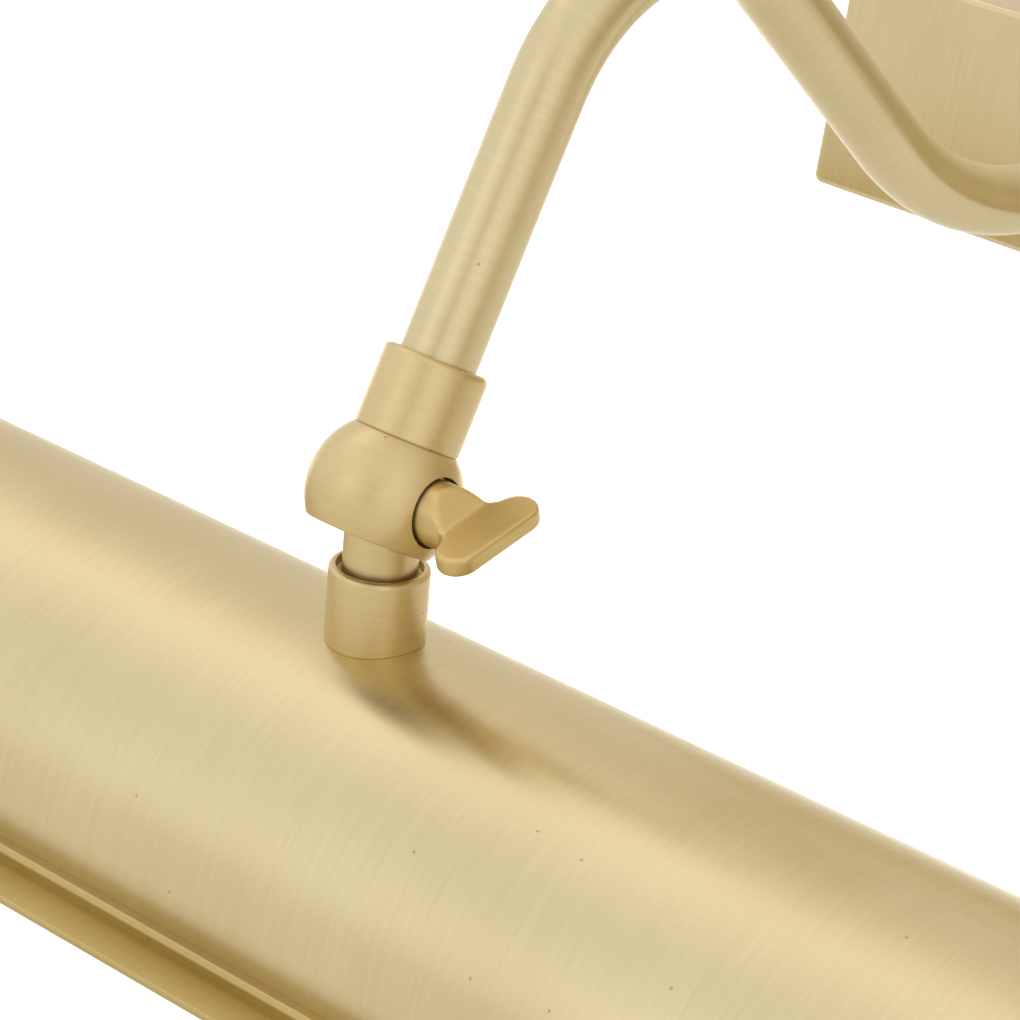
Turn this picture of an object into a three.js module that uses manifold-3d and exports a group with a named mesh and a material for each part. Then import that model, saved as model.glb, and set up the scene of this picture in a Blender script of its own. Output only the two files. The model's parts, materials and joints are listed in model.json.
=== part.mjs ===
// Picture light: a trough-shaped brass shade with two tubular lamps, hung from a bent tube arm by a
// slotted ball knuckle that a wing screw clamps. Millimetres. The origin is on the wall, at the height
// where the arm enters the wall cover. +X runs along the shade, +Y into the wall, +Z up.
import * as THREE from 'three';
import { mergeVertices } from 'three/addons/utils/BufferGeometryUtils.js';
import Module from 'manifold-3d';

const wasm = await Module();
wasm.setup();

// ---------------------------------------------------------------- driving dimensions
const GAP = 0.3; // clearance between pieces that touch
const REACH = 187; // wall to the knuckle's pivot
const SHADE_TILT = 7.13; // degrees the shade hangs past plumb, towards the wall

// bent arm: straight riser, tight neck, sloping run, easy run-out to level
const TUBE_RADIUS = 5;
const TUBE_BORE = 4;
const RISER_ANGLE = 70.7; // degrees above level
const RISER_LENGTH = 52.4; // pivot to the start of the neck
const NECK_RADIUS = 26.4;
const SLOPE_ANGLE = 35; // degrees below level
const SLOPE_LENGTH = 40.6;
const RUNOUT_RADIUS = 60;

// wall cover and bracket
const COVER = { width: 128, height: 36, depth: 22, wall: 1.2, corner: 1.5, edge: 0.8 };
const STRAP = { height: 20, thick: 2, earThick: 1.5, earDepth: 14, earHeight: 16 };
const COVER_SCREW_Y = -9;
const WALL_SLOT = { x: 45, length: 8, radius: 2.5 };
const GROMMET_X = -17;
const EARTH_X = -31;
const ARM_COLLAR = { radius: 7, shoulder: 6.4, length: 3.9, chamfer: 0.6 };
const LOCK_WASHER = { radius: 8, thick: 1 };
const LOCK_NUT = { acrossFlats: 14, thick: 3.5 };

// knuckle
const BALL_RADIUS = 9.8;
const BALL_DROP = 0.45; // ball centre below the pivot, along the arm
const BALL_FLAT = 6.1; // flat under the ball, below the pivot
const SOCKET_RADIUS = 6.75;
const SOCKET_TOP = 17.2;
const SOCKET_FLOOR = 8;
const SLOT_HALF = 5.1;
const SLOT_RADIUS = 5.15;
const SWING = 86.5; // degrees the slot lets the post swing back from in line with the riser
const POST_RADIUS = 4.75;
const POST_THREAD_RADIUS = 4;
const POST_BORE = 2.8;
const PIN_RADIUS = 2;
const SPOT_FACE = 6.4; // wing screw seat, out from the knuckle's middle
const SPOT_RADIUS = 4.5;
const SCREW_WASHER_RADIUS = 4.1;
const HUB = { start: 7.7, radius: 4, end: 13.4 };
const HUB_WEDGE = [[7, 5], [10.2, 4.2], [HUB.end, 1.25]]; // [x, half thickness] towards the crease
const WING = { root: 11, waist: 14, neck: 3.75, tip: 19.8, lobe: 2.7, lobeAt: 5.25, half: 1.2, lean: 22.5 };

// shade, in its own frame: x along it, y towards the wall, z up, origin at the pivot
const SHADE = { length: 360, radius: 30.5, sheet: 1, axis: 50 };
const COLLAR = { radius: 6.35, bore: 5.45, top: 9.9, floor: 11.2, rim: 1 };
const POST_SHOULDER = COLLAR.floor - GAP;
const POST_END = 29.6;
const END_CAP = { depth: 8, edge: 56.5, sheet: 1, mouth: 50, mouthHalf: 25 };

// stepped lip along both long edges: an inner corner, a ledge with a round nose, another inner corner,
// then a flange. Each round is given by its centre, out from the shade's side and down from the pivot,
// and its two angles.
const UPPER_CORNER = { out: 0.3, drop: 51.3, radius: 0.3, from: 180, to: 270, steps: 2 };
const BEAD = { out: 1, drop: 52.5, radius: 0.9, from: 90, to: 0, steps: 5 };
const LOWER_CORNER = { out: 2.3, drop: 53.05, radius: 0.4, from: 180, to: 264, steps: 2 };
const FLANGE_LENGTH = 5.8;

// lamps on one axis inside the shade, the bracket and nuts that carry them, and their holders
const LAMP_DROP = 40; // lamp axis below the pivot
const BRACKET = { half: 8, top: -21.95, thick: 1.5, earX: 27.5 };
const POST_WASHER = { radius: 7.5, low: -24.75, high: -23.75 };
const POST_NUT = { acrossFlats: 13, low: -28.1, high: -25.05 };
const NIPPLE = { radius: 5, bore: 3.4, end: 21.8, nut: 22.6 };
const HOLDER = { start: BRACKET.earX + GAP, base: 45, end: 61, radius: 10.5, sleeve: 12, floor: 4 };
const HOLDER_BORE = { base: 9, sleeve: 7.4 };
const LAMP_CAP = { start: 43.2, end: 62.4, radius: 6.9, bore: 6.4, hole: 2.6 };
const GLASS = {
  start: 47, neck: 6.1, shoulder: 62.8, body: 71, radius: 12.5, dome: 9, end: 132, wall: 0.8,
};
const LEAD_RADIUS = 1;
const LEAD_OFFSET = 1.3;

// terminal block
const BLOCK = { x: 14, length: 17, depth: 13, pitch: 8.2, height: 25, screwSeat: -11.8 };
const INSERT_Y = -8.8;

// ---------------------------------------------------------------- materials
const finish = (color, roughness, metalness, extra = {}) =>
  new THREE.MeshStandardMaterial({ color, roughness, metalness, ...extra });
const MATERIALS = {
  satinBrass: () => finish(0xceb47b, 0.34, 1),
  plainBrass: () => finish(0xc4a25e, 0.3, 1),
  zincSteel: () => finish(0xb4b6b8, 0.4, 1),
  whiteNylon: () => finish(0xe6e4da, 0.5, 0),
  blackRubber: () => finish(0x1c1c1c, 0.8, 0),
  blackResin: () => finish(0x26221f, 0.4, 0),
  clearGlass: () => finish(0xf2f4f2, 0.05, 0, { transparent: true, opacity: 0.35 }),
  brownSleeve: () => finish(0x5a3a26, 0.5, 0),
  blueSleeve: () => finish(0x3c6fa8, 0.5, 0),
  greenSleeve: () => finish(0x6d9a3a, 0.5, 0),
};

// ---------------------------------------------------------------- solid helpers
const AXIS = {
  x: [new THREE.Vector3(0, 1, 0), new THREE.Vector3(0, 0, 1), new THREE.Vector3(1, 0, 0)],
  y: [new THREE.Vector3(1, 0, 0), new THREE.Vector3(0, 0, 1), new THREE.Vector3(0, -1, 0)],
  z: [new THREE.Vector3(1, 0, 0), new THREE.Vector3(0, 1, 0), new THREE.Vector3(0, 0, 1)],
};
const radians = THREE.MathUtils.degToRad;

// A closed manifold solid from any closed three.js geometry.
function solid(geometry) {
  const bare = geometry.index ? geometry.toNonIndexed() : geometry.clone();
  bare.deleteAttribute('normal');
  bare.deleteAttribute('uv');
  const merged = mergeVertices(bare, 1e-4);
  const index = merged.index.array;
  const points = merged.attributes.position.array;
  const kept = [];
  let volume = 0;
  for (let i = 0; i < index.length; i += 3) {
    const [a, b, c] = [index[i], index[i + 1], index[i + 2]];
    if (a === b || b === c || c === a) continue;
    kept.push(a, b, c);
    const [p, q, r] = [a, b, c].map((n) => new THREE.Vector3().fromArray(points, 3 * n));
    volume += p.dot(q.cross(r));
  }
  if (volume < 0) kept.reverse();
  const mesh = new wasm.Mesh({
    numProp: 3,
    vertProperties: new Float32Array(points),
    triVerts: new Uint32Array(kept),
  });
  return new wasm.Manifold(mesh);
}

// A solid of revolution about `axis`; profile points are [radius, distance along the axis].
function turned(profile, axis = 'z', sides = 20) {
  const points = profile.map(([radius, along]) => new THREE.Vector2(radius, along));
  const ring = points[0].x > 0 || points[points.length - 1].x > 0;
  if (ring) points.push(points[0].clone());
  const geometry = new THREE.LatheGeometry(points, sides);
  geometry.rotateX(Math.PI / 2);
  if (axis === 'x') geometry.rotateY(Math.PI / 2);
  if (axis === 'y') geometry.rotateX(-Math.PI / 2);
  return solid(geometry);
}

const rod = (radius, from, to, axis, sides = 16) =>
  turned([[0, from], [radius, from], [radius, to], [0, to]], axis, sides);

const tube = (radius, bore, from, to, axis, sides = 16) =>
  turned([[bore, from], [radius, from], [radius, to], [bore, to]], axis, sides);

// A box from its lowest and highest corners.
function block(low, high) {
  const size = high.map((value, i) => value - low[i]);
  const geometry = new THREE.BoxGeometry(...size);
  geometry.translate(...low.map((value, i) => value + size[i] / 2));
  return solid(geometry);
}

// A flat outline pushed along an axis: (u, v) is (y, z) on x, (x, z) on y and (x, y) on z.
function prism(shape, from, to, axis, bevel = 0, arcSteps = 4) {
  const low = axis === 'y' ? -to : from;
  const geometry = new THREE.ExtrudeGeometry(shape, {
    depth: to - from - 2 * bevel,
    bevelEnabled: bevel > 0,
    bevelThickness: bevel,
    bevelSize: bevel,
    bevelOffset: -bevel,
    bevelSegments: 1,
    curveSegments: arcSteps,
  });
  geometry.translate(0, 0, low + bevel);
  geometry.applyMatrix4(new THREE.Matrix4().makeBasis(...AXIS[axis]));
  return solid(geometry);
}

function roundedRectangle(width, height, corner) {
  const [u, v] = [width / 2 - corner, height / 2 - corner];
  const shape = new THREE.Shape();
  shape.absarc(u, v, corner, 0, Math.PI / 2);
  shape.absarc(-u, v, corner, Math.PI / 2, Math.PI);
  shape.absarc(-u, -v, corner, Math.PI, 1.5 * Math.PI);
  shape.absarc(u, -v, corner, 1.5 * Math.PI, 2 * Math.PI);
  return shape;
}

function hexagon(acrossFlats) {
  const shape = new THREE.Shape();
  const radius = acrossFlats / Math.sqrt(3);
  const corners = Array.from({ length: 6 }, (_, i) => [
    radius * Math.cos((i * Math.PI) / 3),
    radius * Math.sin((i * Math.PI) / 3),
  ]);
  shape.setFromPoints(corners.map(([u, v]) => new THREE.Vector2(u, v)));
  return shape;
}

// A closed list of points from the half with u > 0, mirrored in u = 0.
function bothSides(half) {
  const mirrored = half.filter(([y]) => y > 1e-6).map(([y, z]) => [-y, z]).reverse();
  return [...mirrored, ...half];
}

const toShape = (points) => new THREE.Shape(points.map(([u, v]) => new THREE.Vector2(u, v)));

const placed = (piece, x, y, z) => piece.translate([x, y, z]);

// A named mesh of a finished solid.
function part(name, piece, materialName) {
  const { vertProperties, triVerts } = piece.getMesh();
  const geometry = new THREE.BufferGeometry();
  geometry.setAttribute('position', new THREE.BufferAttribute(new Float32Array(vertProperties), 3));
  geometry.setIndex(new THREE.BufferAttribute(new Uint32Array(triVerts), 1));
  geometry.computeVertexNormals();
  const mesh = new THREE.Mesh(geometry, MATERIALS[materialName]());
  mesh.name = name;
  return mesh;
}

// A slotted screw with its head's outer face at `tip`, pointing along +axis.
function slottedScrew({ head, headHeight, shank, length, axis }) {
  const turnedScrew = turned(
    [[0, -headHeight - length], [shank, -headHeight - length], [shank, -headHeight],
      [head, -headHeight], [head, -headHeight * 0.3], [head * 0.8, 0], [0, 0]],
    axis,
    12,
  );
  const [wide, deep, narrow] = [head * 1.2, headHeight * 0.5, head * 0.14];
  const cutter = {
    x: block([-deep, -wide, -narrow], [1, wide, narrow]),
    y: block([-wide, -deep, -narrow], [wide, 1, narrow]),
  }[axis];
  return turnedScrew.subtract(cutter);
}

// ---------------------------------------------------------------- arm centre line
// Stations along the arm from just above the pivot to the wall side, in the plane x = 0, relative to
// the pivot: each has a point and a heading. Straights take one step and bends several.
function armStations(start, end) {
  const stations = [];
  let heading = radians(RISER_ANGLE);
  const point = new THREE.Vector2();
  const add = () => stations.push({ y: point.x, z: point.y, heading });
  const advance = (distance) => {
    point.x += distance * Math.cos(heading);
    point.y += distance * Math.sin(heading);
    add();
  };
  const bend = (radius, turn, steps) => {
    const side = Math.sign(turn);
    const centre = point.clone().add(
      new THREE.Vector2(-Math.sin(heading), Math.cos(heading)).multiplyScalar(side * radius),
    );
    for (let i = 0; i < steps; i += 1) {
      heading += turn / steps;
      point.set(
        centre.x + side * radius * Math.sin(heading),
        centre.y - side * radius * Math.cos(heading),
      );
      add();
    }
  };
  advance(start);
  advance(RISER_LENGTH - start);
  bend(NECK_RADIUS, -radians(RISER_ANGLE + SLOPE_ANGLE), 12);
  advance(SLOPE_LENGTH);
  bend(RUNOUT_RADIUS, radians(SLOPE_ANGLE), 5);
  advance(end - point.x);
  return stations;
}

const levelHeight = armStations(SOCKET_FLOOR, REACH).at(-1).z;
const PIVOT = [0, -REACH, -levelHeight];

// A curve that passes straight from station to station, with the bend's own tangent at each.
class StationCurve extends THREE.Curve {
  constructor(stations) {
    super();
    this.stations = stations;
  }

  getUtoTmapping(u) {
    return u;
  }

  at(t) {
    const along = t * (this.stations.length - 1);
    const i = Math.min(Math.floor(along + 1e-6), this.stations.length - 2);
    return [this.stations[i], this.stations[i + 1], along - i];
  }

  getPoint(t, target = new THREE.Vector3()) {
    const [a, b, k] = this.at(t);
    return target.set(0, a.y + (b.y - a.y) * k, a.z + (b.z - a.z) * k);
  }

  getTangent(t, target = new THREE.Vector3()) {
    const [a, b, k] = this.at(t);
    const heading = a.heading + (b.heading - a.heading) * k;
    return target.set(0, Math.cos(heading), Math.sin(heading));
  }
}

function circleShape(radius, sides, bore = 0, boreSides = 0) {
  const ring = (r, count) =>
    Array.from({ length: count }, (_, i) => {
      const angle = (2 * Math.PI * i) / count;
      return new THREE.Vector2(r * Math.cos(angle), r * Math.sin(angle));
    });
  const shape = new THREE.Shape(ring(radius, sides));
  if (bore > 0) shape.holes.push(new THREE.Path(ring(bore, boreSides)));
  return shape;
}

function swept(shape, curve, steps) {
  return solid(new THREE.ExtrudeGeometry(shape, { extrudePath: curve, steps, bevelEnabled: false }));
}

// ---------------------------------------------------------------- wall side
function wallCover() {
  const { width, height, depth, wall, corner, edge } = COVER;
  const outside = prism(roundedRectangle(width, height, corner), -depth, 1, 'y', edge);
  const behindWall = block([-width, 0, -height], [width, 5, height]);
  const inside = block(
    [-width / 2 + wall, -depth + wall, -height / 2 + wall],
    [width / 2 - wall, 1, height / 2 - wall],
  );
  const armHole = rod(TUBE_RADIUS + GAP, -depth - 1, -depth + wall + 1, 'y');
  const screwHoles = placed(rod(PIN_RADIUS + GAP, -width, width, 'x', 16), 0, COVER_SCREW_Y, 0);
  return outside.subtract(behindWall).subtract(inside).subtract(armHole).subtract(screwHoles);
}

function wallBracket() {
  const earFace = COVER.width / 2 - COVER.wall - GAP;
  const halfHeight = STRAP.height / 2;
  let bracket = block([-earFace, -STRAP.thick, -halfHeight], [earFace, 0, halfHeight]);
  for (const side of [-1, 1]) {
    const inner = side * (earFace - STRAP.earThick);
    const ends = [inner, side * earFace].sort((a, b) => a - b);
    bracket = bracket.add(block(
      [ends[0], -STRAP.earDepth, -STRAP.earHeight / 2],
      [ends[1], -STRAP.thick / 2, STRAP.earHeight / 2],
    ));
    const slot = roundedRectangle(WALL_SLOT.length, 2 * WALL_SLOT.radius, WALL_SLOT.radius - 0.01);
    bracket = bracket.subtract(placed(prism(slot, -5, 5, 'y', 0, 4), side * WALL_SLOT.x, 0, 0));
  }
  const holes = [
    placed(rod(PIN_RADIUS + GAP, -COVER.width, COVER.width, 'x', 12), 0, COVER_SCREW_Y, 0),
    placed(rod(5, -5, 5, 'y', 16), GROMMET_X, 0, 0),
    placed(rod(1.5 + GAP, -5, 5, 'y', 10), EARTH_X, 0, 0),
    placed(rod(1.25 + GAP, -5, 5, 'y', 10), BLOCK.x + BLOCK.length / 2, 0, BLOCK.pitch / 2),
  ];
  return holes.reduce((piece, hole) => piece.subtract(hole), bracket);
}

function coverScrew(side) {
  const screw = slottedScrew({ head: 3.6, headHeight: 2.2, shank: PIN_RADIUS, length: 7, axis: 'x' });
  const outFace = COVER.width / 2 + GAP + 2.2;
  const turnedRound = side < 0 ? screw.rotate([0, 0, 180]) : screw;
  return placed(turnedRound, side * outFace, COVER_SCREW_Y, 0);
}

function cableGrommet() {
  const front = -STRAP.thick - GAP;
  const outer = 5 - GAP;
  return placed(
    turned([[3.2, -GAP], [3.2, front - 2.2], [6.4, front - 2.2], [7, front - 1.4], [7, front],
      [outer, front], [outer, -GAP]], 'y', 20),
    GROMMET_X, 0, 0,
  );
}

function terminalBlock() {
  const back = -STRAP.thick - GAP;
  const bottom = INSERT_Y - BLOCK.depth / 2;
  let body = block(
    [BLOCK.x, bottom, -BLOCK.height / 2],
    [BLOCK.x + BLOCK.length, back, BLOCK.height / 2],
  );
  for (const pole of [-1, 0, 1]) {
    const z = pole * BLOCK.pitch;
    body = body.subtract(placed(rod(2.7, 0, 40, 'x', 12), 0, INSERT_Y, z));
    for (const side of [-1, 1]) {
      const x = BLOCK.x + BLOCK.length / 2 + side * 4;
      body = body.subtract(placed(rod(1.9, bottom - 1, INSERT_Y, 'y', 8), x, 0, z));
    }
  }
  const middle = BLOCK.x + BLOCK.length / 2;
  const fixing = placed(rod(1.25 + GAP, -30, 5, 'y', 12), middle, 0, BLOCK.pitch / 2);
  const recess = placed(rod(2.5 + GAP, -30, BLOCK.screwSeat, 'y', 12), middle, 0, BLOCK.pitch / 2);
  const notches = [-1, 1].map((side) => block(
    [BLOCK.x - 1, bottom - 1, side * BLOCK.pitch / 2 - 0.5],
    [BLOCK.x + BLOCK.length + 1, bottom + 2, side * BLOCK.pitch / 2 + 0.5],
  ));
  return [fixing, recess, ...notches].reduce((piece, cut) => piece.subtract(cut), body);
}

function terminalInsert(pole) {
  const sleeve = tube(2.4, 1.4, BLOCK.x + 1, BLOCK.x + BLOCK.length - 1, 'x', 12);
  const middle = BLOCK.x + BLOCK.length / 2;
  const holes = [-4, 4].map((dx) => placed(rod(1.2 + GAP / 2, -4, 0, 'y', 8), middle + dx, 0, 0));
  const cut = holes.reduce((piece, hole) => piece.subtract(hole), sleeve);
  return placed(cut, 0, INSERT_Y, pole * BLOCK.pitch);
}

function terminalScrew(pole, side) {
  const length = 3.4;
  const slot = block([-2, -0.8, -0.2], [2, 1, 0.2]);
  const screw = rod(1.2, -length, 0, 'y', 10).subtract(slot).rotate([180, 0, 0]);
  const x = BLOCK.x + BLOCK.length / 2 + side * 4;
  return placed(screw, x, INSERT_Y - 1.3 - length, pole * BLOCK.pitch);
}

function blockScrew() {
  const headHeight = 1.4;
  const screw = slottedScrew({ head: 2.5, headHeight, shank: 1.25, length: 11, axis: 'y' });
  const face = BLOCK.screwSeat - GAP - headHeight;
  return placed(screw.rotate([180, 0, 0]), BLOCK.x + BLOCK.length / 2, face, BLOCK.pitch / 2);
}

function earthScrew() {
  const screw = slottedScrew({ head: 3, headHeight: 1.8, shank: 1.5, length: 3.2, axis: 'y' });
  return placed(screw.rotate([180, 0, 0]), EARTH_X, -STRAP.thick - 1.2 - 1.8, 0);
}

function armCollar() {
  const { radius, shoulder, length, chamfer } = ARM_COLLAR;
  const bore = TUBE_RADIUS + GAP;
  const back = -COVER.depth - GAP;
  const front = back - length;
  return turned([
    [bore, back], [radius, back], [radius, front + chamfer], [shoulder, front], [bore, front],
  ], 'y');
}

function wallGroup() {
  const group = new THREE.Group();
  const front = -COVER.depth;
  const inner = front + COVER.wall + GAP;
  const nutFace = inner + LOCK_WASHER.thick + GAP;
  const bore = TUBE_RADIUS + GAP;
  group.add(
    part('wall_cover', wallCover(), 'satinBrass'),
    part('wall_bracket', wallBracket(), 'zincSteel'),
    part('cover_screw_left', coverScrew(-1), 'satinBrass'),
    part('cover_screw_right', coverScrew(1), 'satinBrass'),
    part('cable_grommet', cableGrommet(), 'blackRubber'),
    part('terminal_block', terminalBlock(), 'whiteNylon'),
    part('terminal_block_screw', blockScrew(), 'zincSteel'),
    part('earth_screw', earthScrew(), 'plainBrass'),
    part('earth_washer', placed(
      tube(3.2, 1.5 + GAP, -STRAP.thick - 0.9, -STRAP.thick - GAP, 'y', 16), EARTH_X, 0, 0,
    ), 'plainBrass'),
    part('arm_collar', armCollar(), 'satinBrass'),
    part('arm_lock_washer', tube(LOCK_WASHER.radius, bore, inner, nutFace - GAP, 'y'), 'zincSteel'),
    part('arm_lock_nut', prism(hexagon(LOCK_NUT.acrossFlats), nutFace, nutFace + LOCK_NUT.thick, 'y')
      .subtract(rod(bore, front, 0, 'y')), 'plainBrass'),
  );
  const poleNames = ['earth', 'neutral', 'live'];
  for (const pole of [-1, 0, 1]) {
    const name = poleNames[pole + 1];
    group.add(part(`terminal_insert_${name}`, terminalInsert(pole), 'plainBrass'));
    group.add(part(`terminal_screw_${name}_arm`, terminalScrew(pole, -1), 'zincSteel'));
    group.add(part(`terminal_screw_${name}_wall`, terminalScrew(pole, 1), 'zincSteel'));
  }
  return group;
}

// ---------------------------------------------------------------- arm
const TUBE_END = REACH - COVER.depth + 7.5; // inside the cover, past the lock nut

function armTube() {
  const stations = armStations(SOCKET_FLOOR + GAP, TUBE_END);
  const shape = circleShape(TUBE_RADIUS, 20, TUBE_BORE, 10);
  return swept(shape, new StationCurve(stations), stations.length - 1);
}

// A single insulated core that lies in the arm's bore, offset from its centre line, and bends over
// behind the lock nut into one terminal.
function armCore(pole, sideways, normal) {
  const start = 10;
  const points = armStations(start, TUBE_END).map(({ y, z, heading }) => new THREE.Vector3(
    sideways,
    y - normal * Math.sin(heading),
    z + normal * Math.cos(heading),
  ));
  const wallSide = (x, y, z) => new THREE.Vector3(x - PIVOT[0], y - PIVOT[1], z - PIVOT[2]);
  const height = pole * BLOCK.pitch;
  points.push(
    wallSide(2 + sideways, -11.2, height * 0.35),
    wallSide(8, INSERT_Y, height * 0.8),
    wallSide(BLOCK.x - 1, INSERT_Y, height),
    wallSide(BLOCK.x + 3, INSERT_Y, height),
  );
  const curve = new THREE.CatmullRomCurve3(points, false, 'centripetal');
  return swept(circleShape(0.9, 6), curve, 48);
}

function armGroup() {
  const group = new THREE.Group();
  group.position.set(...PIVOT);
  group.add(
    part('arm_tube', armTube(), 'satinBrass'),
    part('arm_core_live', armCore(1, -0.9, 1.7), 'brownSleeve'),
    part('arm_core_neutral', armCore(0, 1.9, 0), 'blueSleeve'),
    part('arm_core_earth', armCore(-1, -0.9, -1.7), 'greenSleeve'),
  );
  return group;
}

// ---------------------------------------------------------------- knuckle socket
// In the socket's frame z runs up the riser and the pivot is the origin.
function knuckleSocket() {
  const ballArc = [];
  const low = Math.acos((BALL_FLAT - BALL_DROP) / BALL_RADIUS);
  const high = Math.acos(SOCKET_RADIUS / BALL_RADIUS);
  const steps = 10;
  for (let i = 0; i <= steps; i += 1) {
    const angle = -(Math.PI / 2 - low) + ((Math.PI / 2 - low + high) * i) / steps;
    ballArc.push([BALL_RADIUS * Math.cos(angle), BALL_RADIUS * Math.sin(angle) - BALL_DROP]);
  }
  const rim = 0.8;
  const bore = TUBE_RADIUS + GAP;
  const body = turned([
    [0, -BALL_FLAT],
    ...ballArc,
    [SOCKET_RADIUS, SOCKET_TOP - rim],
    [SOCKET_RADIUS - rim * 0.3, SOCKET_TOP - rim * 0.3],
    [SOCKET_RADIUS - rim, SOCKET_TOP],
    [bore, SOCKET_TOP],
    [bore, SOCKET_FLOOR],
    [3, SOCKET_FLOOR],
    [0, SOCKET_FLOOR],
  ], 'z', 28);
  const wireWay = rod(3, 0, SOCKET_FLOOR + 1, 'z', 12);
  const seat = rod(SPOT_RADIUS, SPOT_FACE, 2 * BALL_RADIUS, 'x', 20);
  const pinHole = rod(PIN_RADIUS + GAP, -BALL_RADIUS - 1, BALL_RADIUS + 1, 'x', 12);
  return [slotCutter(), wireWay, seat, pinHole].reduce((piece, cut) => piece.subtract(cut), body);
}

// The room the post's end needs: a round about the pivot and every place the post swings through.
function slotCutter() {
  const reach = 3 * BALL_RADIUS;
  const sweep = new THREE.Shape();
  sweep.moveTo(-SLOT_RADIUS, 0);
  sweep.lineTo(-SLOT_RADIUS, -reach);
  sweep.lineTo(reach, -reach);
  const end = radians(SWING);
  const along = [Math.sin(end), -Math.cos(end)];
  const up = [Math.cos(end) * SLOT_RADIUS, Math.sin(end) * SLOT_RADIUS];
  sweep.lineTo(along[0] * reach + up[0], along[1] * reach + up[1]);
  sweep.lineTo(up[0], up[1]);
  sweep.absarc(0, 0, SLOT_RADIUS, Math.atan2(up[1], up[0]), Math.PI, false);
  return prism(sweep, -SLOT_HALF, SLOT_HALF, 'x', 0, 12);
}

function socketGroup() {
  const group = new THREE.Group();
  group.position.set(...PIVOT);
  group.rotation.x = radians(RISER_ANGLE - 90);
  group.add(part('knuckle_socket', knuckleSocket(), 'satinBrass'));
  return group;
}

// ---------------------------------------------------------------- wing screw
function wingScrew() {
  const shank = rod(PIN_RADIUS, -8, HUB.start + 0.5, 'x', 16);
  const wedge = toShape(bothSides(HUB_WEDGE.map(([x, half]) => [half, x])).map(([z, x]) => [x, z]));
  const hub = rod(HUB.radius, HUB.start, HUB.end, 'x', 24).intersect(prism(wedge, -5, 5, 'y'));
  const lobeX = WING.tip - WING.lobe;
  const [across, up] = [lobeX - WING.waist, WING.lobeAt - WING.neck];
  const join = Math.atan2(up, across) + Math.acos(-WING.lobe / Math.hypot(across, up));
  const joinX = lobeX + WING.lobe * Math.cos(join);
  const joinY = WING.lobeAt + WING.lobe * Math.sin(join);
  const outline = new THREE.Shape();
  outline.moveTo(WING.root, -WING.neck);
  outline.quadraticCurveTo(WING.waist, -WING.neck, joinX, -joinY);
  outline.absarc(lobeX, -WING.lobeAt, WING.lobe, -join, 0, false);
  outline.absarc(lobeX, WING.lobeAt, WING.lobe, 0, join, false);
  outline.quadraticCurveTo(WING.waist, WING.neck, WING.root, WING.neck);
  const blade = prism(outline, -WING.half, WING.half, 'z', 0.4, 6);
  return shank.add(hub).add(blade);
}

function wingGroup() {
  const group = new THREE.Group();
  group.position.set(...PIVOT);
  group.rotation.x = radians(WING.lean);
  const washer = tube(SCREW_WASHER_RADIUS, PIN_RADIUS + GAP, SPOT_FACE + GAP, SPOT_FACE + 1, 'x', 24);
  group.add(
    part('wing_screw', wingScrew(), 'satinBrass'),
    part('screw_washer', washer, 'plainBrass'),
  );
  return group;
}

// ---------------------------------------------------------------- shade
// Half outlines of the section are listed from the crest to the open edge as [y, z] with y > 0.
function crestArc(inset) {
  const radius = SHADE.radius - inset;
  const steps = 18;
  return Array.from({ length: steps + 1 }, (_, i) => {
    const angle = (Math.PI / 2) * (1 - i / steps);
    return [radius * Math.cos(angle), radius * Math.sin(angle) - SHADE.axis];
  });
}

function lipArc({ out, drop, radius, from, to, steps }, grow = 0) {
  return Array.from({ length: steps + 1 }, (_, i) => {
    const angle = radians(from + ((to - from) * i) / steps);
    const reach = (radius + grow) * Math.cos(angle);
    return [SHADE.radius + out + reach, (radius + grow) * Math.sin(angle) - drop];
  });
}

const outerOutline = () => [
  ...crestArc(0).slice(0, -1),
  ...lipArc(UPPER_CORNER),
  ...lipArc(BEAD),
  ...lipArc(LOWER_CORNER),
];

const innerOutline = (inset) => [
  ...crestArc(inset),
  ...lipArc({ ...UPPER_CORNER, to: 230 }, inset),
  ...lipArc({ ...LOWER_CORNER, from: 185 }, inset),
];

function flangeEdge(outline) {
  const slope = radians(LOWER_CORNER.to - 180);
  const [out, z] = outline.at(-1);
  return [out + FLANGE_LENGTH * Math.sin(slope), z - FLANGE_LENGTH * Math.cos(slope)];
}

function shadeShell() {
  const [outer, inner] = [outerOutline(), innerOutline(SHADE.sheet)];
  const outside = bothSides([...outer, flangeEdge(outer)]);
  const inside = bothSides([...inner, flangeEdge(inner)]);
  const shell = prism(toShape([...outside, ...inside.reverse()]), -SHADE.length / 2, SHADE.length / 2, 'x');
  return shell.subtract(rod(POST_THREAD_RADIUS + GAP, -SHADE.axis, 0, 'z'));
}

const endCapOutline = (inset, edge) =>
  toShape(bothSides(innerOutline(inset).filter(([, z]) => z >= -edge)));

function endCap(side) {
  const outer = SHADE.length / 2 - 0.1;
  const inner = outer - END_CAP.depth;
  const inset = SHADE.sheet + GAP;
  const tray = prism(endCapOutline(inset, END_CAP.edge), inner, outer, 'x');
  const { sheet, edge, mouth, mouthHalf } = END_CAP;
  const hollow = prism(endCapOutline(inset + sheet, edge + 2), inner - 1, outer - sheet, 'x');
  const opening = block([inner - 1, -mouthHalf, -edge - 10], [outer - sheet, mouthHalf, -mouth]);
  const cap = tray.subtract(hollow).subtract(opening);
  return side > 0 ? cap : cap.mirror([1, 0, 0]);
}

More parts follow.
